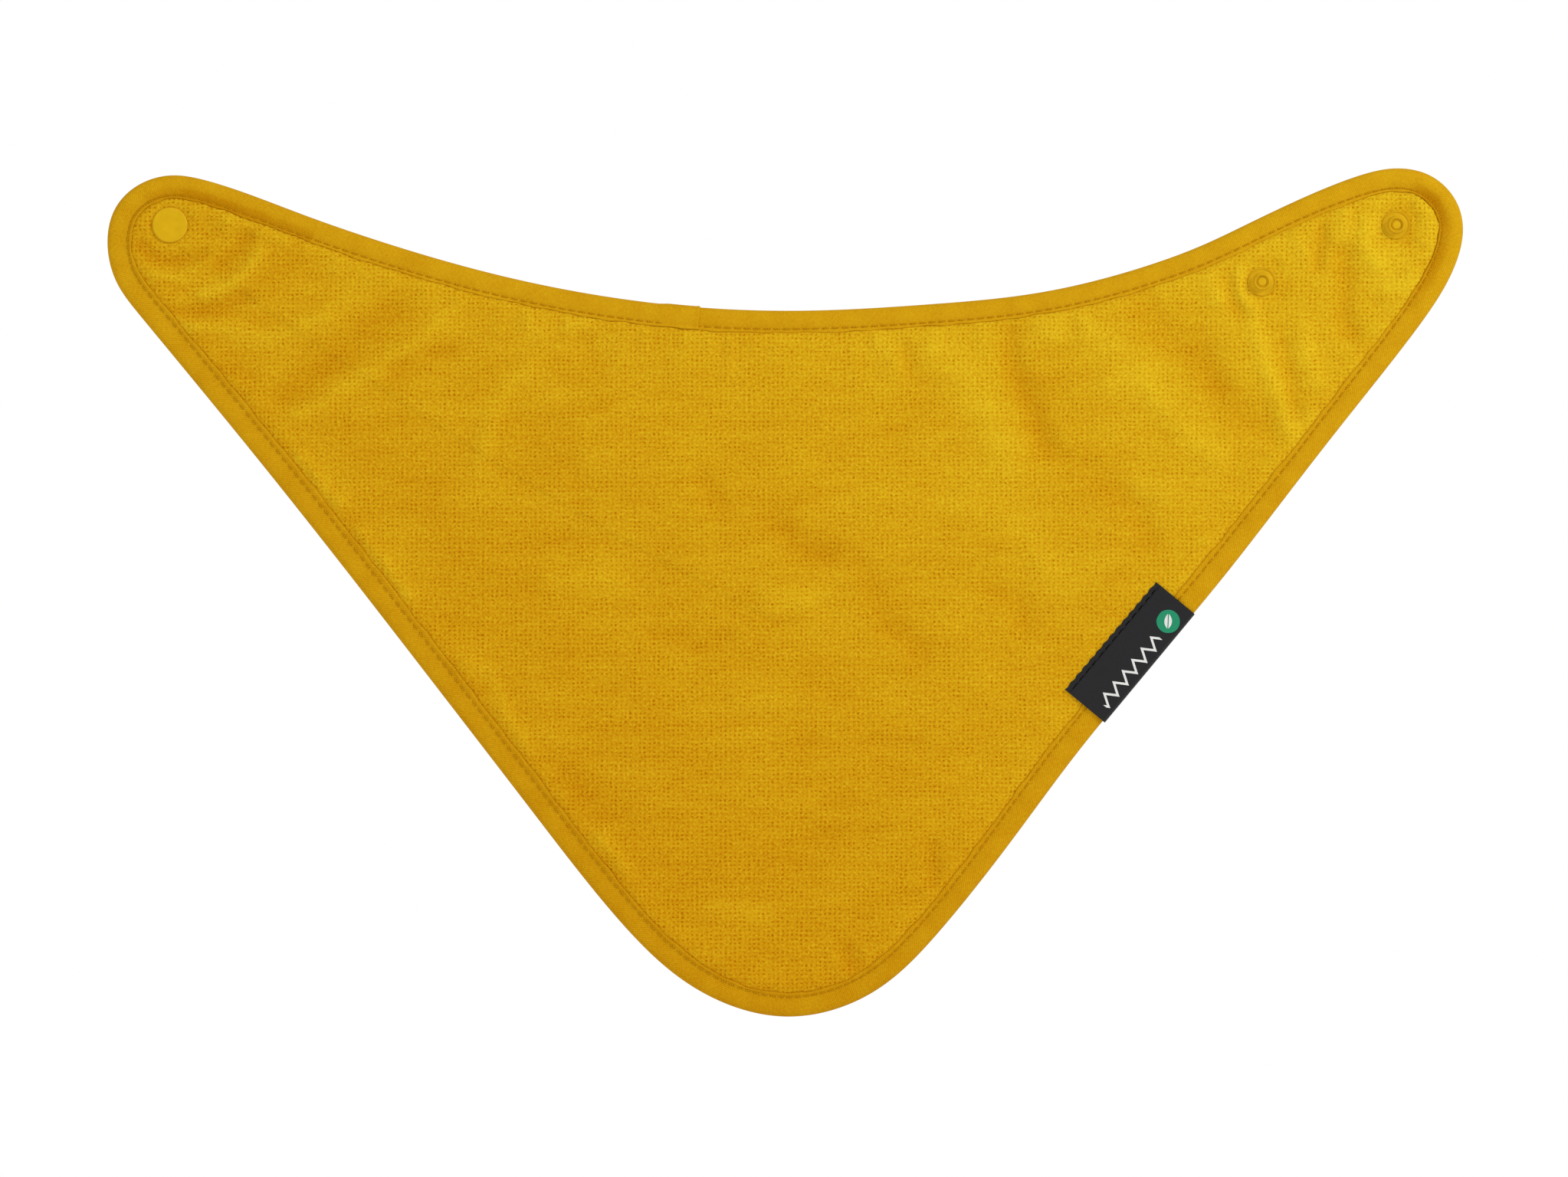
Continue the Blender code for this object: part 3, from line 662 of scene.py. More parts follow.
# The tape's section where the seam is 5.7 mm and its lip 7 mm inside the edge, as (distance inside
# the edge, distance in front of the tape's back) in mm: its face from lip to lip, then its lining.
TAPE_FACE = [
    (6.88, 2.28), (7.02, 2.5), (7.05, 2.78), (6.92, 3.0), (6.62, 3.1), (6.28, 3.02), (5.98, 2.84),
    (5.7, 2.74), (5.42, 2.86), (5.0, 3.05), (4.2, 3.22), (3.2, 3.3), (2.2, 3.27), (1.3, 3.1), (0.65, 2.78),
    (0.2, 2.25), (0.0, 1.62), (0.18, 1.0), (0.62, 0.45), (1.3, 0.15), (2.3, 0.02), (3.4, 0.0), (4.6, 0.06),
    (5.3, 0.18), (5.7, 0.26), (6.1, 0.16), (6.6, 0.08), (6.95, 0.16), (7.04, 0.36), (6.94, 0.58),
]
TAPE_LINING = [(6.3, 0.64), (2.4, 0.6), (1.05, 0.85), (0.75, 1.62), (1.05, 2.3), (2.4, 2.55), (6.3, 2.4)]

# Combed cotton jersey is smoother and closer than the towelling: matt, with fine slanting ribs.
jersey, tree, shader = new_material(
    "cotton jersey bias tape, mustard", cotton | {"Roughness": 0.85, "Specular IOR Level": 0.12}
)
# The tape is cut on the bias, so its fine ribs run at 45 degrees to its edge, 0.6 mm apart, and its
# courses cross them 0.42 mm apart.
ribs_place = flat_millimetres(tree, 45)
rib_drawing = {"Vector": ribs_place, "Scale": 0.52, "Distortion": 1.2, "Detail": 2, "Detail Scale": 0.8}
ribs = add(tree, "ShaderNodeTexWave", rib_drawing, bands_direction="X")
course_drawing = {"Vector": ribs_place, "Scale": 0.75, "Distortion": 1.0, "Detail": 1}
courses = add(tree, "ShaderNodeTexWave", course_drawing, bands_direction="Y")
knit = add(tree, "ShaderNodeMath", {0: ribs, 1: 1.6, 2: courses}, operation="MULTIPLY_ADD")
fuzz = add(tree, "ShaderNodeTexNoise", {"Vector": ribs_place, "Scale": 1.3, "Detail": 3, "Roughness": 0.7})
dye = add(tree, "ShaderNodeTexNoise", {"Vector": ribs_place, "Scale": 0.14, "Detail": 3})
# The tape's painted light and shade: lighter towards the top and the right, darker beside the seam.
painted_light_and_shade = add(tree, "ShaderNodeAttribute", attribute_name="painted_light_and_shade")
tone = painted_light_and_shade.outputs["Fac"]
for source, weight in ((knit, 0.11), (fuzz, 0.7), (dye, 0.35)):
    tone = add(tree, "ShaderNodeMath", {0: source, 1: weight, 2: tone}, operation="MULTIPLY_ADD")
tape_tone = add(tree, "ShaderNodeValToRGB", {"Fac": tone}, ((0.25, "#b87a04"), (1.0, "#dcae18")))
tree.links.new(tape_tone.outputs["Color"], shader.inputs["Base Color"])
knit_height = add(tree, "ShaderNodeMath", {0: fuzz, 1: 1.2, 2: knit}, operation="MULTIPLY_ADD")
knit_bump = add(tree, "ShaderNodeBump", {"Height": knit_height, "Strength": 0.3, "Distance": 0.00008})
tree.links.new(knit_bump.outputs["Normal"], shader.inputs["Normal"])


def at_edge(stations):
    """The places and inward directions at these distances along the edge, in mm."""
    along = np.append(edge_along, perimeter)
    stations = np.mod(stations, perimeter)
    place, inwards = (
        np.stack([np.interp(stations, along, np.append(known[:, k], known[0, k])) for k in (0, 1)], axis=1)
        for known in (edge_mm, edge_inwards)
    )
    return place, inwards / np.linalg.norm(inwards, axis=1)[:, None]


def tape_points(stations, inset, forward, proud=0.0):
    """The tape's surface for one point of its section at every station, as x, forward and z in mm."""
    edge, inwards = at_edge(stations)
    rng = np.random.default_rng(8)
    waver = np.zeros_like(stations)
    for rate, height in ((61, 0.05), (97, 0.05), (141, 0.04), (29, 0.06)):
        waver += height * np.sin(stations * 2 * math.pi * rate / perimeter + rng.uniform(0, 7))
    seam, lip = tape_run(stations, 1), tape_run(stations, 2)
    if inset < NOMINAL_SEAM:
        t = inset * seam / NOMINAL_SEAM
    else:
        t = seam + (inset - NOMINAL_SEAM) * (lip - seam) / (NOMINAL_LIP - NOMINAL_SEAM)
    rolled = faces_lower_left(inwards)
    between_holes = 0.5 - 0.5 * np.cos(stations * 2 * math.pi / STITCH_PITCH)
    at_seam = hump(inset, NOMINAL_SEAM, 0.55)
    at_lip = smooth(inset, 5.9, 6.9)
    on_face = smooth(inset, 0.3, 2.5)
    t = t + at_lip * waver * 1.6
    if forward >= SECTION_MIDDLE:
        # Where the tape has rolled, its face lies flat past the seam and ends in a narrow ridge at the lip.
        climb = smooth(inset, NOMINAL_SEAM, 6.6)
        fills_groove = 0.4 * hump(inset, NOMINAL_SEAM, 0.5)
        forward = forward + between_holes * 0.12 * at_seam * (1 - rolled) + waver * 0.9 * on_face
        forward = forward + rolled * (0.3 * climb - 0.1 * (1 - climb) * on_face + fills_groove)
        forward = forward + at_lip * (0.1 + waver)
        # At the top of the right end the tape slopes down from its middle to the seam.
        by_seam = smooth(inset, 3.0, 5.2) * (1 - smooth(inset, 5.5, 6.3))
        forward = forward - 0.35 * hump(stations, RIGHT_END_TOP, 14) * by_seam
    else:
        forward = forward - between_holes * 0.06 * at_seam + waver * 0.6 * on_face
    if np.any(proud):
        forward = forward + proud * np.sign(forward - SECTION_MIDDLE) * on_face
        t = t - proud * (1 - on_face)
    return edge[:, 0] + inwards[:, 0] * t, forward, edge[:, 1] + inwards[:, 1] * t


def swept_tape(name, section, stations, closed, proud=0.0):
    """The section swept along these stations, with a flat map: along the tape, and round its section."""
    rings, painted_light_and_shade = [], []
    edge, inwards = at_edge(stations)
    for inset, forward in section:
        x, y, z = tape_points(stations, inset, forward, proud)
        rings.append(np.stack([x, -y, z], axis=1) / 1000)
        # Painted light on the tape, lighter towards the top and the right, and painted shade beside the
        # seam.
        painted_seam_shade = smooth(inset, 2.6, 4.6) * (forward >= SECTION_MIDDLE)
        painted_seam_shade = painted_seam_shade * sum(depth * hump(stations, middle, reach) for middle, reach, depth in PAINTED_SEAM_SHADE)
        painted_light_and_shade.append(0.0008 * edge[:, 1] + 0.0002 * edge[:, 0] - 0.03 - painted_seam_shade)
    points = np.stack(rings, axis=1)
    count, around = len(stations), len(section)
    last = count if closed else count - 1
    i, k = np.meshgrid(np.arange(last), np.arange(around), indexing="ij")
    j, m = (i + 1) % count, (k + 1) % around
    faces = np.stack([i * around + k, j * around + k, j * around + m, i * around + m], axis=-1)
    mesh = bpy.data.meshes.new(name)
    mesh.from_pydata(points.reshape(-1, 3).tolist(), [], faces.reshape(-1, 4).tolist())
    reach = np.append(stations, perimeter) / 1000
    steps = [math.dist(section[k], section[k - 1]) for k in range(1, around)]
    girth = np.cumsum([0, *steps, math.dist(section[0], section[-1])]) / 1000
    across = np.stack([reach[i], reach[i + 1], reach[i + 1], reach[i]], axis=-1)
    down = np.stack([girth[k], girth[k], girth[k + 1], girth[k + 1]], axis=-1)
    layer = mesh.uv_layers.new(name="flat")
    layer.data.foreach_set("uv", np.stack([across, down], axis=-1).ravel().astype(np.float32))
    painted_light_layer = mesh.attributes.new("painted_light_and_shade", "FLOAT", "POINT")
    painted_light_layer.data.foreach_set("value", np.stack(painted_light_and_shade, axis=1).ravel().astype(np.float32))
    if not closed:
        shape = bmesh.new()
        shape.from_mesh(mesh)
        bmesh.ops.holes_fill(shape, edges=[e for e in shape.edges if e.is_boundary], sides=0)
        shape.to_mesh(mesh)
        shape.free()
    mesh.materials.append(jersey)
    made = new_object(name, mesh)
    select_only(made)
    bpy.ops.object.shade_smooth_by_angle(angle=math.radians(60))
    return made


STATIONS_PER_STITCH = 5
tape_stations = np.arange(STITCH_COUNT * STATIONS_PER_STITCH) * STITCH_PITCH / STATIONS_PER_STITCH
tape = part_at_folds(swept_tape("tape", TAPE_FACE + TAPE_LINING, tape_stations, True))


def runs_of(layer, name):
    """The CAD nodes of this layer that one part stands for: a run at the neck and one at the hem, except
    round an end, where they are one. The right shoulder's part has the chest's as well."""
    parts = [name, "chest"] if name == "right_shoulder" else [name]
    runs = [""] if "end" in name else ["_neck", "_hem"]
    return [f"{layer}_{part}{run}" for part in parts for run in runs]


for name, piece in tape.items():
    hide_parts(*runs_of("binding", name))

# The tape's end, turned under and lapped over its start at the neckline.
LAP_AT_X, LAP_LENGTH, LAP_PROUD = -25.5, 13.0, 0.32
not_neckline = 1e6 * (edge_mm[:, 1] < -20)
lap_end = edge_along[np.abs(edge_mm[:, 0] - LAP_AT_X + not_neckline).argmin()]
lap_stations = lap_end - np.array([LAP_LENGTH, *np.linspace(LAP_LENGTH - 1, 0.5, 22), 0.2, 0.07, 0.0])
lap_proud = LAP_PROUD * smooth(lap_end - lap_stations, LAP_LENGTH, LAP_LENGTH - 4)
lap_proud = lap_proud + 0.12 * hump(lap_end - lap_stations, 0.5, 0.35)
lap_proud[[0, -3, -2, -1]] = -0.05, 0.36, 0.24, -0.05
tape_lap = swept_tape("tape_lap", TAPE_FACE + TAPE_LINING, lap_stations, False, lap_proud)
bend(tape_lap)
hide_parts("binding_left_shoulder_neck")
declare_cloth(back)


# ---- Seam --------------------------------------------------------------------------------------
# One row of lockstitch in spun polyester thread, sewn through tape, towelling and back in one pass,
# with the needle thread on the front and the bobbin thread behind. It pulls into the soft tape.

# Spun polyester thread is hairy and nearly matt: its twist shows as slanting light and dark lines.
thread, tree, shader = new_material("spun polyester thread, mustard", {
    "Roughness": 0.5, "Specular IOR Level": 0.25, "Specular Tint": srgb("#f0c020"),
})
# Two plies twisted together, a turn every 0.6 mm, seen as slanting lines along each stitch.
plies = {"Vector": flat_millimetres(tree, 35), "Scale": 0.52}
plies = add(tree, "ShaderNodeTexWave", plies, bands_direction="X")
plies_tone = add(tree, "ShaderNodeValToRGB", {"Fac": plies}, ((0, "#a06a04"), (1, "#cf960e")))
tree.links.new(plies_tone.outputs["Color"], shader.inputs["Base Color"])
plies_bump = add(tree, "ShaderNodeBump", {"Height": plies, "Strength": 0.4, "Distance": 0.00005})
tree.links.new(plies_bump.outputs["Normal"], shader.inputs["Normal"])

STITCH_LENGTH, THREAD_RADIUS, THREAD_SIDES, SIDE_WIDTH = 2.35, 0.19, 6, 0.2
# One stitch's rings, closed at each end: (share of its length, mm out of the cloth, share of its radius).
STITCH_RINGS = [
    (-0.5, -0.3, 0.5), (-0.42, -0.04, 0.95), (-0.2, 0.1, 1.0), (0.2, 0.1, 1.0), (0.42, -0.04, 0.95),
    (0.5, -0.3, 0.5),
]


def one_stitch(sides):
    """A stitch's points, its faces, and each face corner's place on the flat thread, in mm."""
    points, faces, flat = [], [], []
    for ring, (along, out, radius) in enumerate(STITCH_RINGS):
        low = along * STITCH_LENGTH
        for k in range(sides):
            turn, around = 2 * math.pi * k / sides, THREAD_RADIUS * radius
            points.append((low, out + around * math.sin(turn), around * math.cos(turn)))
            if ring + 1 < len(STITCH_RINGS):
                here, m = ring * sides, (k + 1) % sides
                faces.append((here + k, here + m, here + sides + m, here + sides + k))
                high = STITCH_RINGS[ring + 1][0] * STITCH_LENGTH
                left, right = k * SIDE_WIDTH, (k + 1) * SIDE_WIDTH
                flat += [(low, left), (low, right), (high, right), (high, left)]
    faces.append(tuple(range(sides - 1, -1, -1)))
    faces.append(tuple(range((len(STITCH_RINGS) - 1) * sides, len(STITCH_RINGS) * sides)))
    flat += [(0, 0)] * (2 * sides)
    return np.array(points), faces, np.array(flat)


def row_of_stitches(name, places, directions, outward):
    """One mesh of stitches, each at its place (x, y, z) and along its direction (x, z), in mm."""
    shape, faces, flat = one_stitch(THREAD_SIDES)
    points, all_faces = [], []
    for index, (place, way) in enumerate(zip(places, directions)):
        x = place[0] + shape[:, 0] * way[0] - shape[:, 2] * way[1] * outward
        y = place[1] - shape[:, 1] * outward
        z = place[2] + shape[:, 0] * way[1] + shape[:, 2] * way[0] * outward
        points.append(np.stack([x, y, z], axis=1) / 1000)
        all_faces += [[v + index * len(shape) for v in face] for face in faces]
    mesh = bpy.data.meshes.new(name)
    mesh.from_pydata(np.concatenate(points).tolist(), [], all_faces)
    layer = mesh.uv_layers.new(name="flat")
    layer.data.foreach_set("uv", np.tile(flat / 1000, (len(places), 1)).ravel().astype(np.float32))
    mesh.shade_smooth()
    made = new_object(name, mesh)
    bend(made)
    return made


middles = (np.arange(STITCH_COUNT) + 0.5) * STITCH_PITCH
LIFT = 0.02  # what a thread or label stands off the cloth under it, in mm, so that they don't touch
for side, thread_name, forward, outward in (
    ("front", "needle_thread", SEAM_FRONT, 1), ("back", "bobbin_thread", SEAM_BACK, -1),
):
    x, y, z = tape_points(middles, NOMINAL_SEAM, forward)
    places = np.stack([x, -(y + outward * LIFT), z], axis=1)
    ahead = np.stack(tape_points(middles + 0.4, NOMINAL_SEAM, forward), axis=1) - places
    ahead = ahead[:, [0, 2]] / np.linalg.norm(ahead[:, [0, 2]], axis=1)[:, None]
    for part in PARTS:
        name, low, high = part[:3]
        here = (places[:, 0] >= low) & (places[:, 0] < high)
        row = row_of_stitches(f"{side}_stitches_{name}", places[here], ahead[here], outward)
        row.data.materials.append(thread)
        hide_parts(*runs_of(thread_name, name))
seam_x = tape_points(tape_stations, NOMINAL_SEAM, SEAM_FRONT)[0]


# ---- Woven label -------------------------------------------------------------------------------
# A ribbon woven in black satin with a small pattern brocaded in white and green, heat-cut at its
# ends, folded over the bound edge and sewn down along its inner edge, front and back, in black thread.

LABEL_MIDDLE, LABEL_TURN = (109.3, -107.4), math.radians(50.3)
LABEL_LENGTH, LABEL_WIDTH, LABEL_CUT_WIDTH, LABEL_THICK, FOLD_STANDS_OFF = 42.4, 14.9, 32.5, 0.3, 0.3
LABEL_COLUMNS, LABEL_STITCHES = 64, 13
STITCHED_AT = 0.915  # share of the way in from the fold
BEYOND_STITCHES = 1.2  # mm of the label past the first and the last stitch

# Satin ribbon has a soft, even shine along its floats; brocaded threads stand a little above it.
satin, tree, shader = new_material(
    "woven polyester satin ribbon, black", {"Roughness": 0.55, "Specular IOR Level": 0.2}
)
label_mm = flat_millimetres(tree)
# Weft floats lie side by side 0.25 mm apart; drawn 0.45 mm apart, so that they show.
float_drawing = {"Vector": label_mm, "Scale": 0.7, "Distortion": 0.5, "Detail": 1}
floats = add(tree, "ShaderNodeTexWave", float_drawing, bands_direction="Y")
end_drawing = {"Vector": label_mm, "Scale": 0.45, "Distortion": 0.3, "Detail": 1}
ends = add(tree, "ShaderNodeTexWave", end_drawing, bands_direction="X")
satin_height = add(tree, "ShaderNodeMath", {0: ends, 1: 0.5, 2: floats}, operation="MULTIPLY_ADD")
satin_tone = add(tree, "ShaderNodeValToRGB", {"Fac": satin_height}, ((0, "#0e0e10"), (1, "#222224")))

# A zigzag of white floats along the label, 3.4 mm high and 4.4 mm from point to point, 2 mm in from
# the fold. It runs from the lower end to the disc.
across_label = add(tree, "ShaderNodeSeparateXYZ", {"Vector": label_mm})
along_label, from_fold = across_label.outputs["X"], across_label.outputs["Y"]
zigzag = add(tree, "ShaderNodeMath", {0: along_label, 1: 30.0}, operation="ADD")
zigzag = add(tree, "ShaderNodeMath", {0: zigzag, 1: 2.2}, operation="PINGPONG")
zigzag = add(tree, "ShaderNodeMath", {0: zigzag, 1: 1.55, 2: 2.0}, operation="MULTIPLY_ADD")
in_zigzag = add(tree, "ShaderNodeMath", {0: from_fold, 1: zigzag, 2: 0.62}, operation="COMPARE")
in_span = add(tree, "ShaderNodeMath", {0: along_label, 1: -4.2, 2: 13.2}, operation="COMPARE")
white_floats = add(tree, "ShaderNodeMath", {0: in_zigzag, 1: in_span}, operation="MULTIPLY")
# A green disc of 3.5 mm radius at the upper end, with a white leaf on it that leans to the right.
from_disc = add(tree, "ShaderNodeVectorMath", {0: label_mm, 1: (14.4, 4.6, 0)}, operation="SUBTRACT")
disc_radius = add(tree, "ShaderNodeVectorMath", {0: from_disc}, operation="LENGTH")
in_disc = add(tree, "ShaderNodeMath", {0: disc_radius.outputs["Value"], 1: 3.5}, operation="LESS_THAN")
leaf_place = add(tree, "ShaderNodeMapping", {"Vector": from_disc, "Rotation": (0, 0, math.radians(-37))})
in_leaf_axes = add(tree, "ShaderNodeSeparateXYZ", {"Vector": leaf_place})
leaf_along, leaf_across = in_leaf_axes.outputs["X"], in_leaf_axes.outputs["Y"]
leaf_across = add(tree, "ShaderNodeMath", {0: leaf_across}, operation="ABSOLUTE")
leaf_edge = add(tree, "ShaderNodeMath", {0: leaf_along, 1: 2.0}, operation="POWER")
leaf_edge = add(tree, "ShaderNodeMath", {0: leaf_edge, 1: -0.2, 2: 1.15}, operation="MULTIPLY_ADD")
in_leaf = add(tree, "ShaderNodeMath", {0: leaf_across, 1: leaf_edge}, operation="LESS_THAN")
off_vein = add(tree, "ShaderNodeMath", {0: leaf_across, 1: 0.16}, operation="GREATER_THAN")
in_leaf = add(tree, "ShaderNodeMath", {0: in_leaf, 1: off_vein}, operation="MULTIPLY")
brocade_grain = add(tree, "ShaderNodeMath", {0: floats, 1: 0.35, 2: 0.65}, operation="MULTIPLY_ADD")
shown = satin_tone.outputs["Color"]
for where, dark, light in (
    (white_floats, "#8d8d8b", "#e9e9e6"), (in_disc, "#0d4632", "#1e9469"), (in_leaf, "#8d8d8b", "#e9e9e6"),
):
    yarns = {0: brocade_grain, 6: srgb(dark), 7: srgb(light)}
    yarn_tone = add(tree, "ShaderNodeMix", yarns, data_type="RGBA")
    over = add(tree, "ShaderNodeMix", {0: where, 6: shown, 7: yarn_tone.outputs[2]}, data_type="RGBA")
    shown = over.outputs[2]
tree.links.new(shown, shader.inputs["Base Color"])
brocade = add(tree, "ShaderNodeMath", {0: white_floats, 1: in_disc}, operation="MAXIMUM")
label_height = add(tree, "ShaderNodeMath", {0: brocade, 1: 1.5, 2: satin_height}, operation="MULTIPLY_ADD")
label_bump = add(tree, "ShaderNodeBump", {"Height": label_height, "Strength": 0.4, "Distance": 0.00008})
tree.links.new(label_bump.outputs["Normal"], shader.inputs["Normal"])


def label_place(along, from_fold):
    """Where a point of the label lies, as x and z in mm: along it, and in from its fold."""
    down = from_fold - FOLD_STANDS_OFF
    x = LABEL_MIDDLE[0] + along * math.cos(LABEL_TURN) - down * math.sin(LABEL_TURN)
    z = LABEL_MIDDLE[1] + along * math.sin(LABEL_TURN) + down * math.cos(LABEL_TURN)
    return x, z


def label_lies(along, from_fold, front_side):
    """How far in front of the bib's back the cloth or tape under the label lies, in mm."""
    x, z = label_place(along, from_fold)
    inside, nearest = from_edge(x, z)
    if front_side:
        cloth = towelling_forward(x, z, inside, nearest)
        tape_over = 1 - smooth(inside, 7.2, 9.5)
        return np.maximum(cloth, 3.3 * tape_over + cloth * (1 - tape_over)) + LIFT
    cloth = backing_forward(x, z, inside, edge_along[nearest]) - 0.2
    return np.minimum(cloth, smooth(inside, 7.2, 9) * 0.4) - LIFT


label_along = np.linspace(-LABEL_LENGTH / 2, LABEL_LENGTH / 2, LABEL_COLUMNS + 1)
label_pitch = (LABEL_LENGTH - 2 * BEYOND_STITCHES) / LABEL_STITCHES
from_first = label_along + LABEL_LENGTH / 2 - BEYOND_STITCHES
bite = 0.5 + 0.5 * np.cos(from_first * 2 * math.pi / label_pitch)
# Rows from the front's inner edge to the fold, and on to the back's: (share of the way in from the
# fold, mm off the cloth). At the fold itself the label turns round the tape's edge.
FRONT_ROWS = [
    (1.0, 0.0), (0.985, 0.2), (0.95, 0.3), (STITCHED_AT, 0.2), (0.87, 0.3), (0.75, 0.36), (0.62, 0.34),
    (0.5, 0.34), (0.38, 0.34), (0.26, 0.34), (0.14, 0.34), (0.06, 0.3), (0.02, 0.0), (0.0, -0.9),
]
BACK_ROWS = [
    (0.0, -0.9), (0.02, 0.0), (0.06, 0.3), (0.2, 0.34), (0.4, 0.34), (0.6, 0.34), (0.8, 0.34), (0.9, 0.2),
    (0.95, 0.3), (0.985, 0.2), (1.0, 0.0),
]
rows, girths = [], []
for outward, share, off in [(1, *row) for row in FRONT_ROWS] + [(-1, *row) for row in BACK_ROWS]:
    # Its inner edge is pulled out between the stitches, and the label was laid on a little askew.
    inner_edge = LABEL_WIDTH + (0.35 * (0.5 - bite) - 0.2 * label_along * 2 / LABEL_LENGTH) * share
    reach = share * inner_edge
    if off < 0:
        forward = np.full_like(label_along, SECTION_MIDDLE + 0.5 * outward)
    else:
        pressed = hump(share, STITCHED_AT, 0.03) * (0.18 + 0.22 * bite)
        forward = label_lies(label_along, np.maximum(reach, 1.2), outward > 0) + (off - pressed) * outward
        if share < 0.2:
            forward = SECTION_MIDDLE + (forward - SECTION_MIDDLE) * min(1.0, 0.72 + share * 4.5)
    x, z = label_place(label_along, reach)
    rows.append(np.stack([x, -forward, z], axis=1) / 1000)
    girths.append(share * outward * LABEL_WIDTH)
count = LABEL_COLUMNS + 1
corners = np.concatenate(rows)
faces = [
    (r * count + c, r * count + c + 1, (r + 1) * count + c + 1, (r + 1) * count + c)
    for r in range(len(rows) - 1) for c in range(LABEL_COLUMNS)
]
mesh = bpy.data.meshes.new("label")
mesh.from_pydata(corners.tolist(), [], faces)
set_flat_map(mesh, np.tile(label_along, len(rows)) / 1000, np.repeat(girths, count) / 1000)
label = new_object("label", mesh)
mesh.materials.append(satin)
thicken(label, LABEL_THICK, 50)
bend(label)
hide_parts("woven_label")

# The same thread dyed black, which hides its twist: the stitches show only as dark dents in the satin.
black_thread = thread.copy()
black_thread.name = "spun polyester thread, black"
black_shader = black_thread.node_tree.nodes["Principled BSDF"]
black_shader.inputs["Specular Tint"].default_value = (1, 1, 1, 1)
black_shader.inputs["Specular IOR Level"].default_value = 0.06
black_tones = next(node for node in black_thread.node_tree.nodes if node.type == "VALTORGB").color_ramp
black_tones.elements[0].color, black_tones.elements[1].color = srgb("#020202"), srgb("#0a0a0b")
for side, node, outward in (("front", "label_needle_thread", 1), ("back", "label_bobbin_thread", -1)):
    along = -LABEL_LENGTH / 2 + BEYOND_STITCHES + (np.arange(LABEL_STITCHES) + 0.5) * label_pitch
    reach = np.full_like(along, LABEL_WIDTH * STITCHED_AT)
    lies = label_lies(along, reach, outward > 0) + outward * (0.2 + LIFT)
    x, z = label_place(along, reach)
    places = np.stack([x, -lies, z], axis=1)
    way = np.tile([math.cos(LABEL_TURN), math.sin(LABEL_TURN)], (LABEL_STITCHES, 1))
    row = row_of_stitches(f"label_stitches_{side}", places, way, outward)
    row.data.materials.append(black_thread)
    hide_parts(node)


# ---- Snaps -------------------------------------------------------------------------------------
# Acetal resin snap fasteners, moulded in the cloth's own mustard. A cap's post goes through all the
# layers and is pressed flat inside the stud or socket on the other side, which pinches the cloth.

# Moulded acetal is hard and waxy: a satin skin from the mould's fine grain, with soft highlights.
acetal, tree, shader = new_material(
    "injection-moulded acetal, mustard", {"IOR": 1.48, "Specular Tint": srgb("#f4cf3c")}
)
place = add(tree, "ShaderNodeTexCoord")
flow_place = {"Vector": place.outputs["Object"], "Scale": (1000, 1000, 1000)}
flow_place = add(tree, "ShaderNodeMapping", flow_place)
flow = add(tree, "ShaderNodeTexNoise", {"Vector": flow_place, "Scale": 0.35, "Detail": 2})
resin_tone = add(tree, "ShaderNodeValToRGB", {"Fac": flow}, ((0.3, "#cfa213"), (0.7, "#d8aa18")))
tree.links.new(resin_tone.outputs["Color"], shader.inputs["Base Color"])
# The mould's matt finish, a grain of 0.15 mm.
grain = add(tree, "ShaderNodeTexNoise", {"Vector": flow_place, "Scale": 6.0, "Detail": 2})
grain_bump = add(tree, "ShaderNodeBump", {"Height": grain, "Strength": 0.15, "Distance": 0.00004})
tree.links.new(grain_bump.outputs["Normal"], shader.inputs["Normal"])
grain_shine = add(tree, "ShaderNodeMapRange", {"Value": grain, "To Min": 0.34, "To Max": 0.5})
tree.links.new(grain_shine.outputs["Result"], shader.inputs["Roughness"])

# Each shape from the cloth upwards and in to its middle, as (radius, height) in mm.
CAP_RINGS = [
    (4.9, 0.0), (5.2, 0.1), (5.33, 0.32), (5.35, 0.62), (5.3, 0.86), (5.16, 1.05), (4.98, 1.15),
    (4.8, 1.18), (4.62, 1.15), (4.4, 1.12), (3.2, 1.14), (1.6, 1.16), (0.3, 1.17),
]
STUD_RINGS = [
    (4.0, 0.0), (4.17, 0.1), (4.22, 0.3), (4.22, 0.6), (4.16, 0.76), (4.03, 0.84), (3.9, 0.78),
    (3.78, 0.6), (3.5, 0.5), (3.2, 0.55), (2.95, 0.68), (2.74, 0.86), (2.6, 1.12), (2.52, 1.4),
    (2.5, 1.7), (2.48, 1.95), (2.42, 2.16), (2.3, 2.32), (2.16, 2.4), (2.02, 2.36), (1.94, 2.22),
    (1.9, 2.0), (1.86, 1.8), (1.8, 1.65), (1.68, 1.58), (1.5, 1.56), (1.38, 1.6), (1.32, 1.7),
    (1.3, 1.8), (1.22, 1.95), (1.06, 2.03), (0.8, 2.06), (0.4, 2.07), (0.1, 2.07),
]
SOCKET_RINGS = [
    (4.2, 0.0), (4.36, 0.1), (4.4, 0.3), (4.38, 0.6), (4.25, 0.78), (4.12, 0.88), (4.08, 1.1),
    (4.08, 2.5), (4.02, 2.75), (3.86, 2.93), (3.65, 3.0), (3.3, 3.0), (3.08, 2.95), (2.86, 2.8),
    (2.7, 2.55), (2.65, 2.25), (2.7, 1.95), (2.85, 1.7), (2.92, 1.4), (2.92, 0.9), (2.8, 0.78),
    (2.0, 0.75), (1.55, 0.75), (1.42, 0.85), (1.35, 1.02), (1.1, 1.16), (0.7, 1.24), (0.3, 1.27),
    (0.1, 1.28),
]
SNAP_SIDES = 96


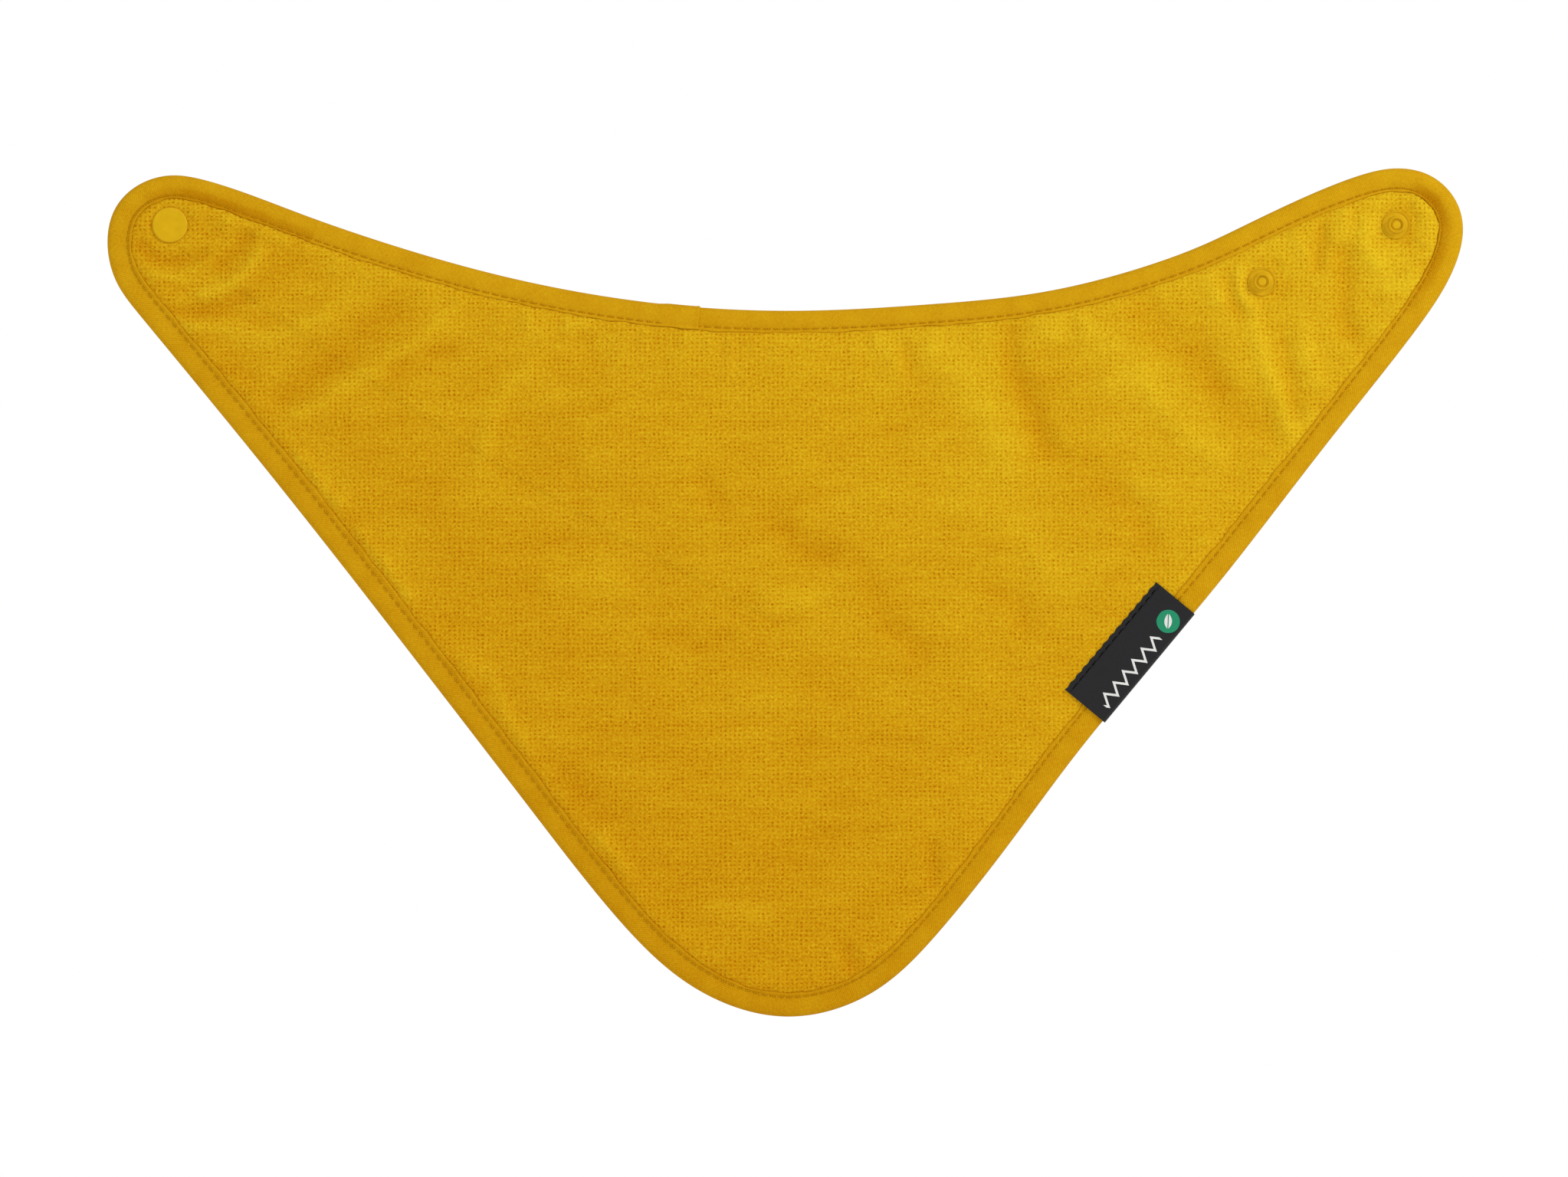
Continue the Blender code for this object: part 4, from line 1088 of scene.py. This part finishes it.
def turned_up(name, node, rings, faces_front, body):
    """Draws a disc up ring by ring into a turned shape that stands where the CAD node does."""
    low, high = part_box(node)
    middle = (Vector(low) + Vector(high)) / 2
    tall = max(height for _, height in rings) / 1000
    base = low[1] + tall if faces_front else high[1] - tall
    bpy.ops.object.select_all(action="DESELECT")
    bpy.ops.mesh.primitive_circle_add(vertices=SNAP_SIDES, radius=rings[0][0] / 1000, fill_type="NGON")
    made = bpy.context.object
    made.name = name
    bpy.ops.object.mode_set(mode="EDIT")
    for (radius, height), (next_radius, next_height) in zip(rings, rings[1:]):
        up = (0, 0, (next_height - height) / 1000)
        bpy.ops.mesh.extrude_region_move(TRANSFORM_OT_translate={"value": up})
        share = next_radius / radius
        bpy.ops.transform.resize(value=(share, share, 1), center_override=(0, 0, next_height / 1000))
    bpy.ops.mesh.select_all(action="SELECT")
    bpy.ops.mesh.normals_make_consistent(inside=False)
    bpy.ops.object.mode_set(mode="OBJECT")
    bpy.ops.object.shade_smooth_by_angle(angle=math.radians(35))
    turn = math.radians(90 if faces_front else -90)
    made.data.transform(Matrix.Translation((middle.x, base, middle.z)) @ Matrix.Rotation(turn, 4, "X"))
    made.data.materials.append(acetal)
    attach(made, body)
    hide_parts(node)


for name, rings, faces_front, body in (
    ("cap_left", CAP_RINGS, True, "left_end"),
    ("socket_left", SOCKET_RINGS, False, "left_end"),
    ("stud_outer", STUD_RINGS, True, "right_end"),
    ("cap_outer", CAP_RINGS, False, "right_end"),
    ("stud_inner", STUD_RINGS, True, "right_end"),
    ("cap_inner", CAP_RINGS, False, "right_end"),
):
    turned_up(name, f"snap_{name}", rings, faces_front, body)


# ---- Studio ------------------------------------------------------------------------------------
# A white room with a pale floor below the bib, one large soft light up on the right and a weaker one
# on the left, and a long lens square to the front.

bpy.ops.object.select_all(action="DESELECT")
bpy.ops.mesh.primitive_plane_add(size=2.2, location=(0, 0, -0.36))
floor = bpy.context.object
floor.name = "floor"
paint = new_material("matt white paint", {"Base Color": srgb("#f2f2f2"), "Roughness": 0.9})[0]
floor.data.materials.append(paint)

world = bpy.data.worlds.new("white room")
bpy.context.scene.world = world
world.use_nodes = True
tree = world.node_tree
room = tree.nodes["Background"]
room.inputs["Color"].default_value = (1, 1, 1, 1)
room.inputs["Strength"].default_value = 0.61
seen = add(tree, "ShaderNodeBackground", {"Color": (1, 1, 1, 1), "Strength": 1.0})
path = add(tree, "ShaderNodeLightPath")
either = add(tree, "ShaderNodeMixShader", {0: path, 1: room, 2: seen})
tree.links.new(either.outputs["Shader"], tree.nodes["World Output"].inputs["Surface"])

for name, at, size, power in (
    ("key", (1.7, -1.15, 0.95), 0.8, 21),
    ("fill", (-1.3, -1.9, 0.5), 1.4, 11),
    ("back_light", (0.6, 1.9, 0.8), 1.4, 20),
):
    lamp = bpy.data.lights.new(name, "AREA")
    lamp.size = size
    lamp.energy = power
    light = new_object(name, lamp)
    light.location = at
    light.rotation_euler = (Vector((0, 0, -0.08)) - Vector(at)).to_track_quat("-Z", "Y").to_euler()

lens = bpy.data.cameras.new("camera")
camera = new_object("camera", lens)
FRAME_WIDTH, FRAME_CENTRE_X, FRAME_CENTRE_Z, DISTANCE = 0.4718, -0.00035, -0.0837, 3.0
lens.sensor_width = 36
lens.lens = 36 * DISTANCE / FRAME_WIDTH
camera.location = (FRAME_CENTRE_X, -DISTANCE - 0.003, FRAME_CENTRE_Z)
camera.rotation_euler = (math.radians(90), 0, 0)
bpy.context.scene.camera = camera
bpy.context.scene.view_settings.view_transform = "Standard"
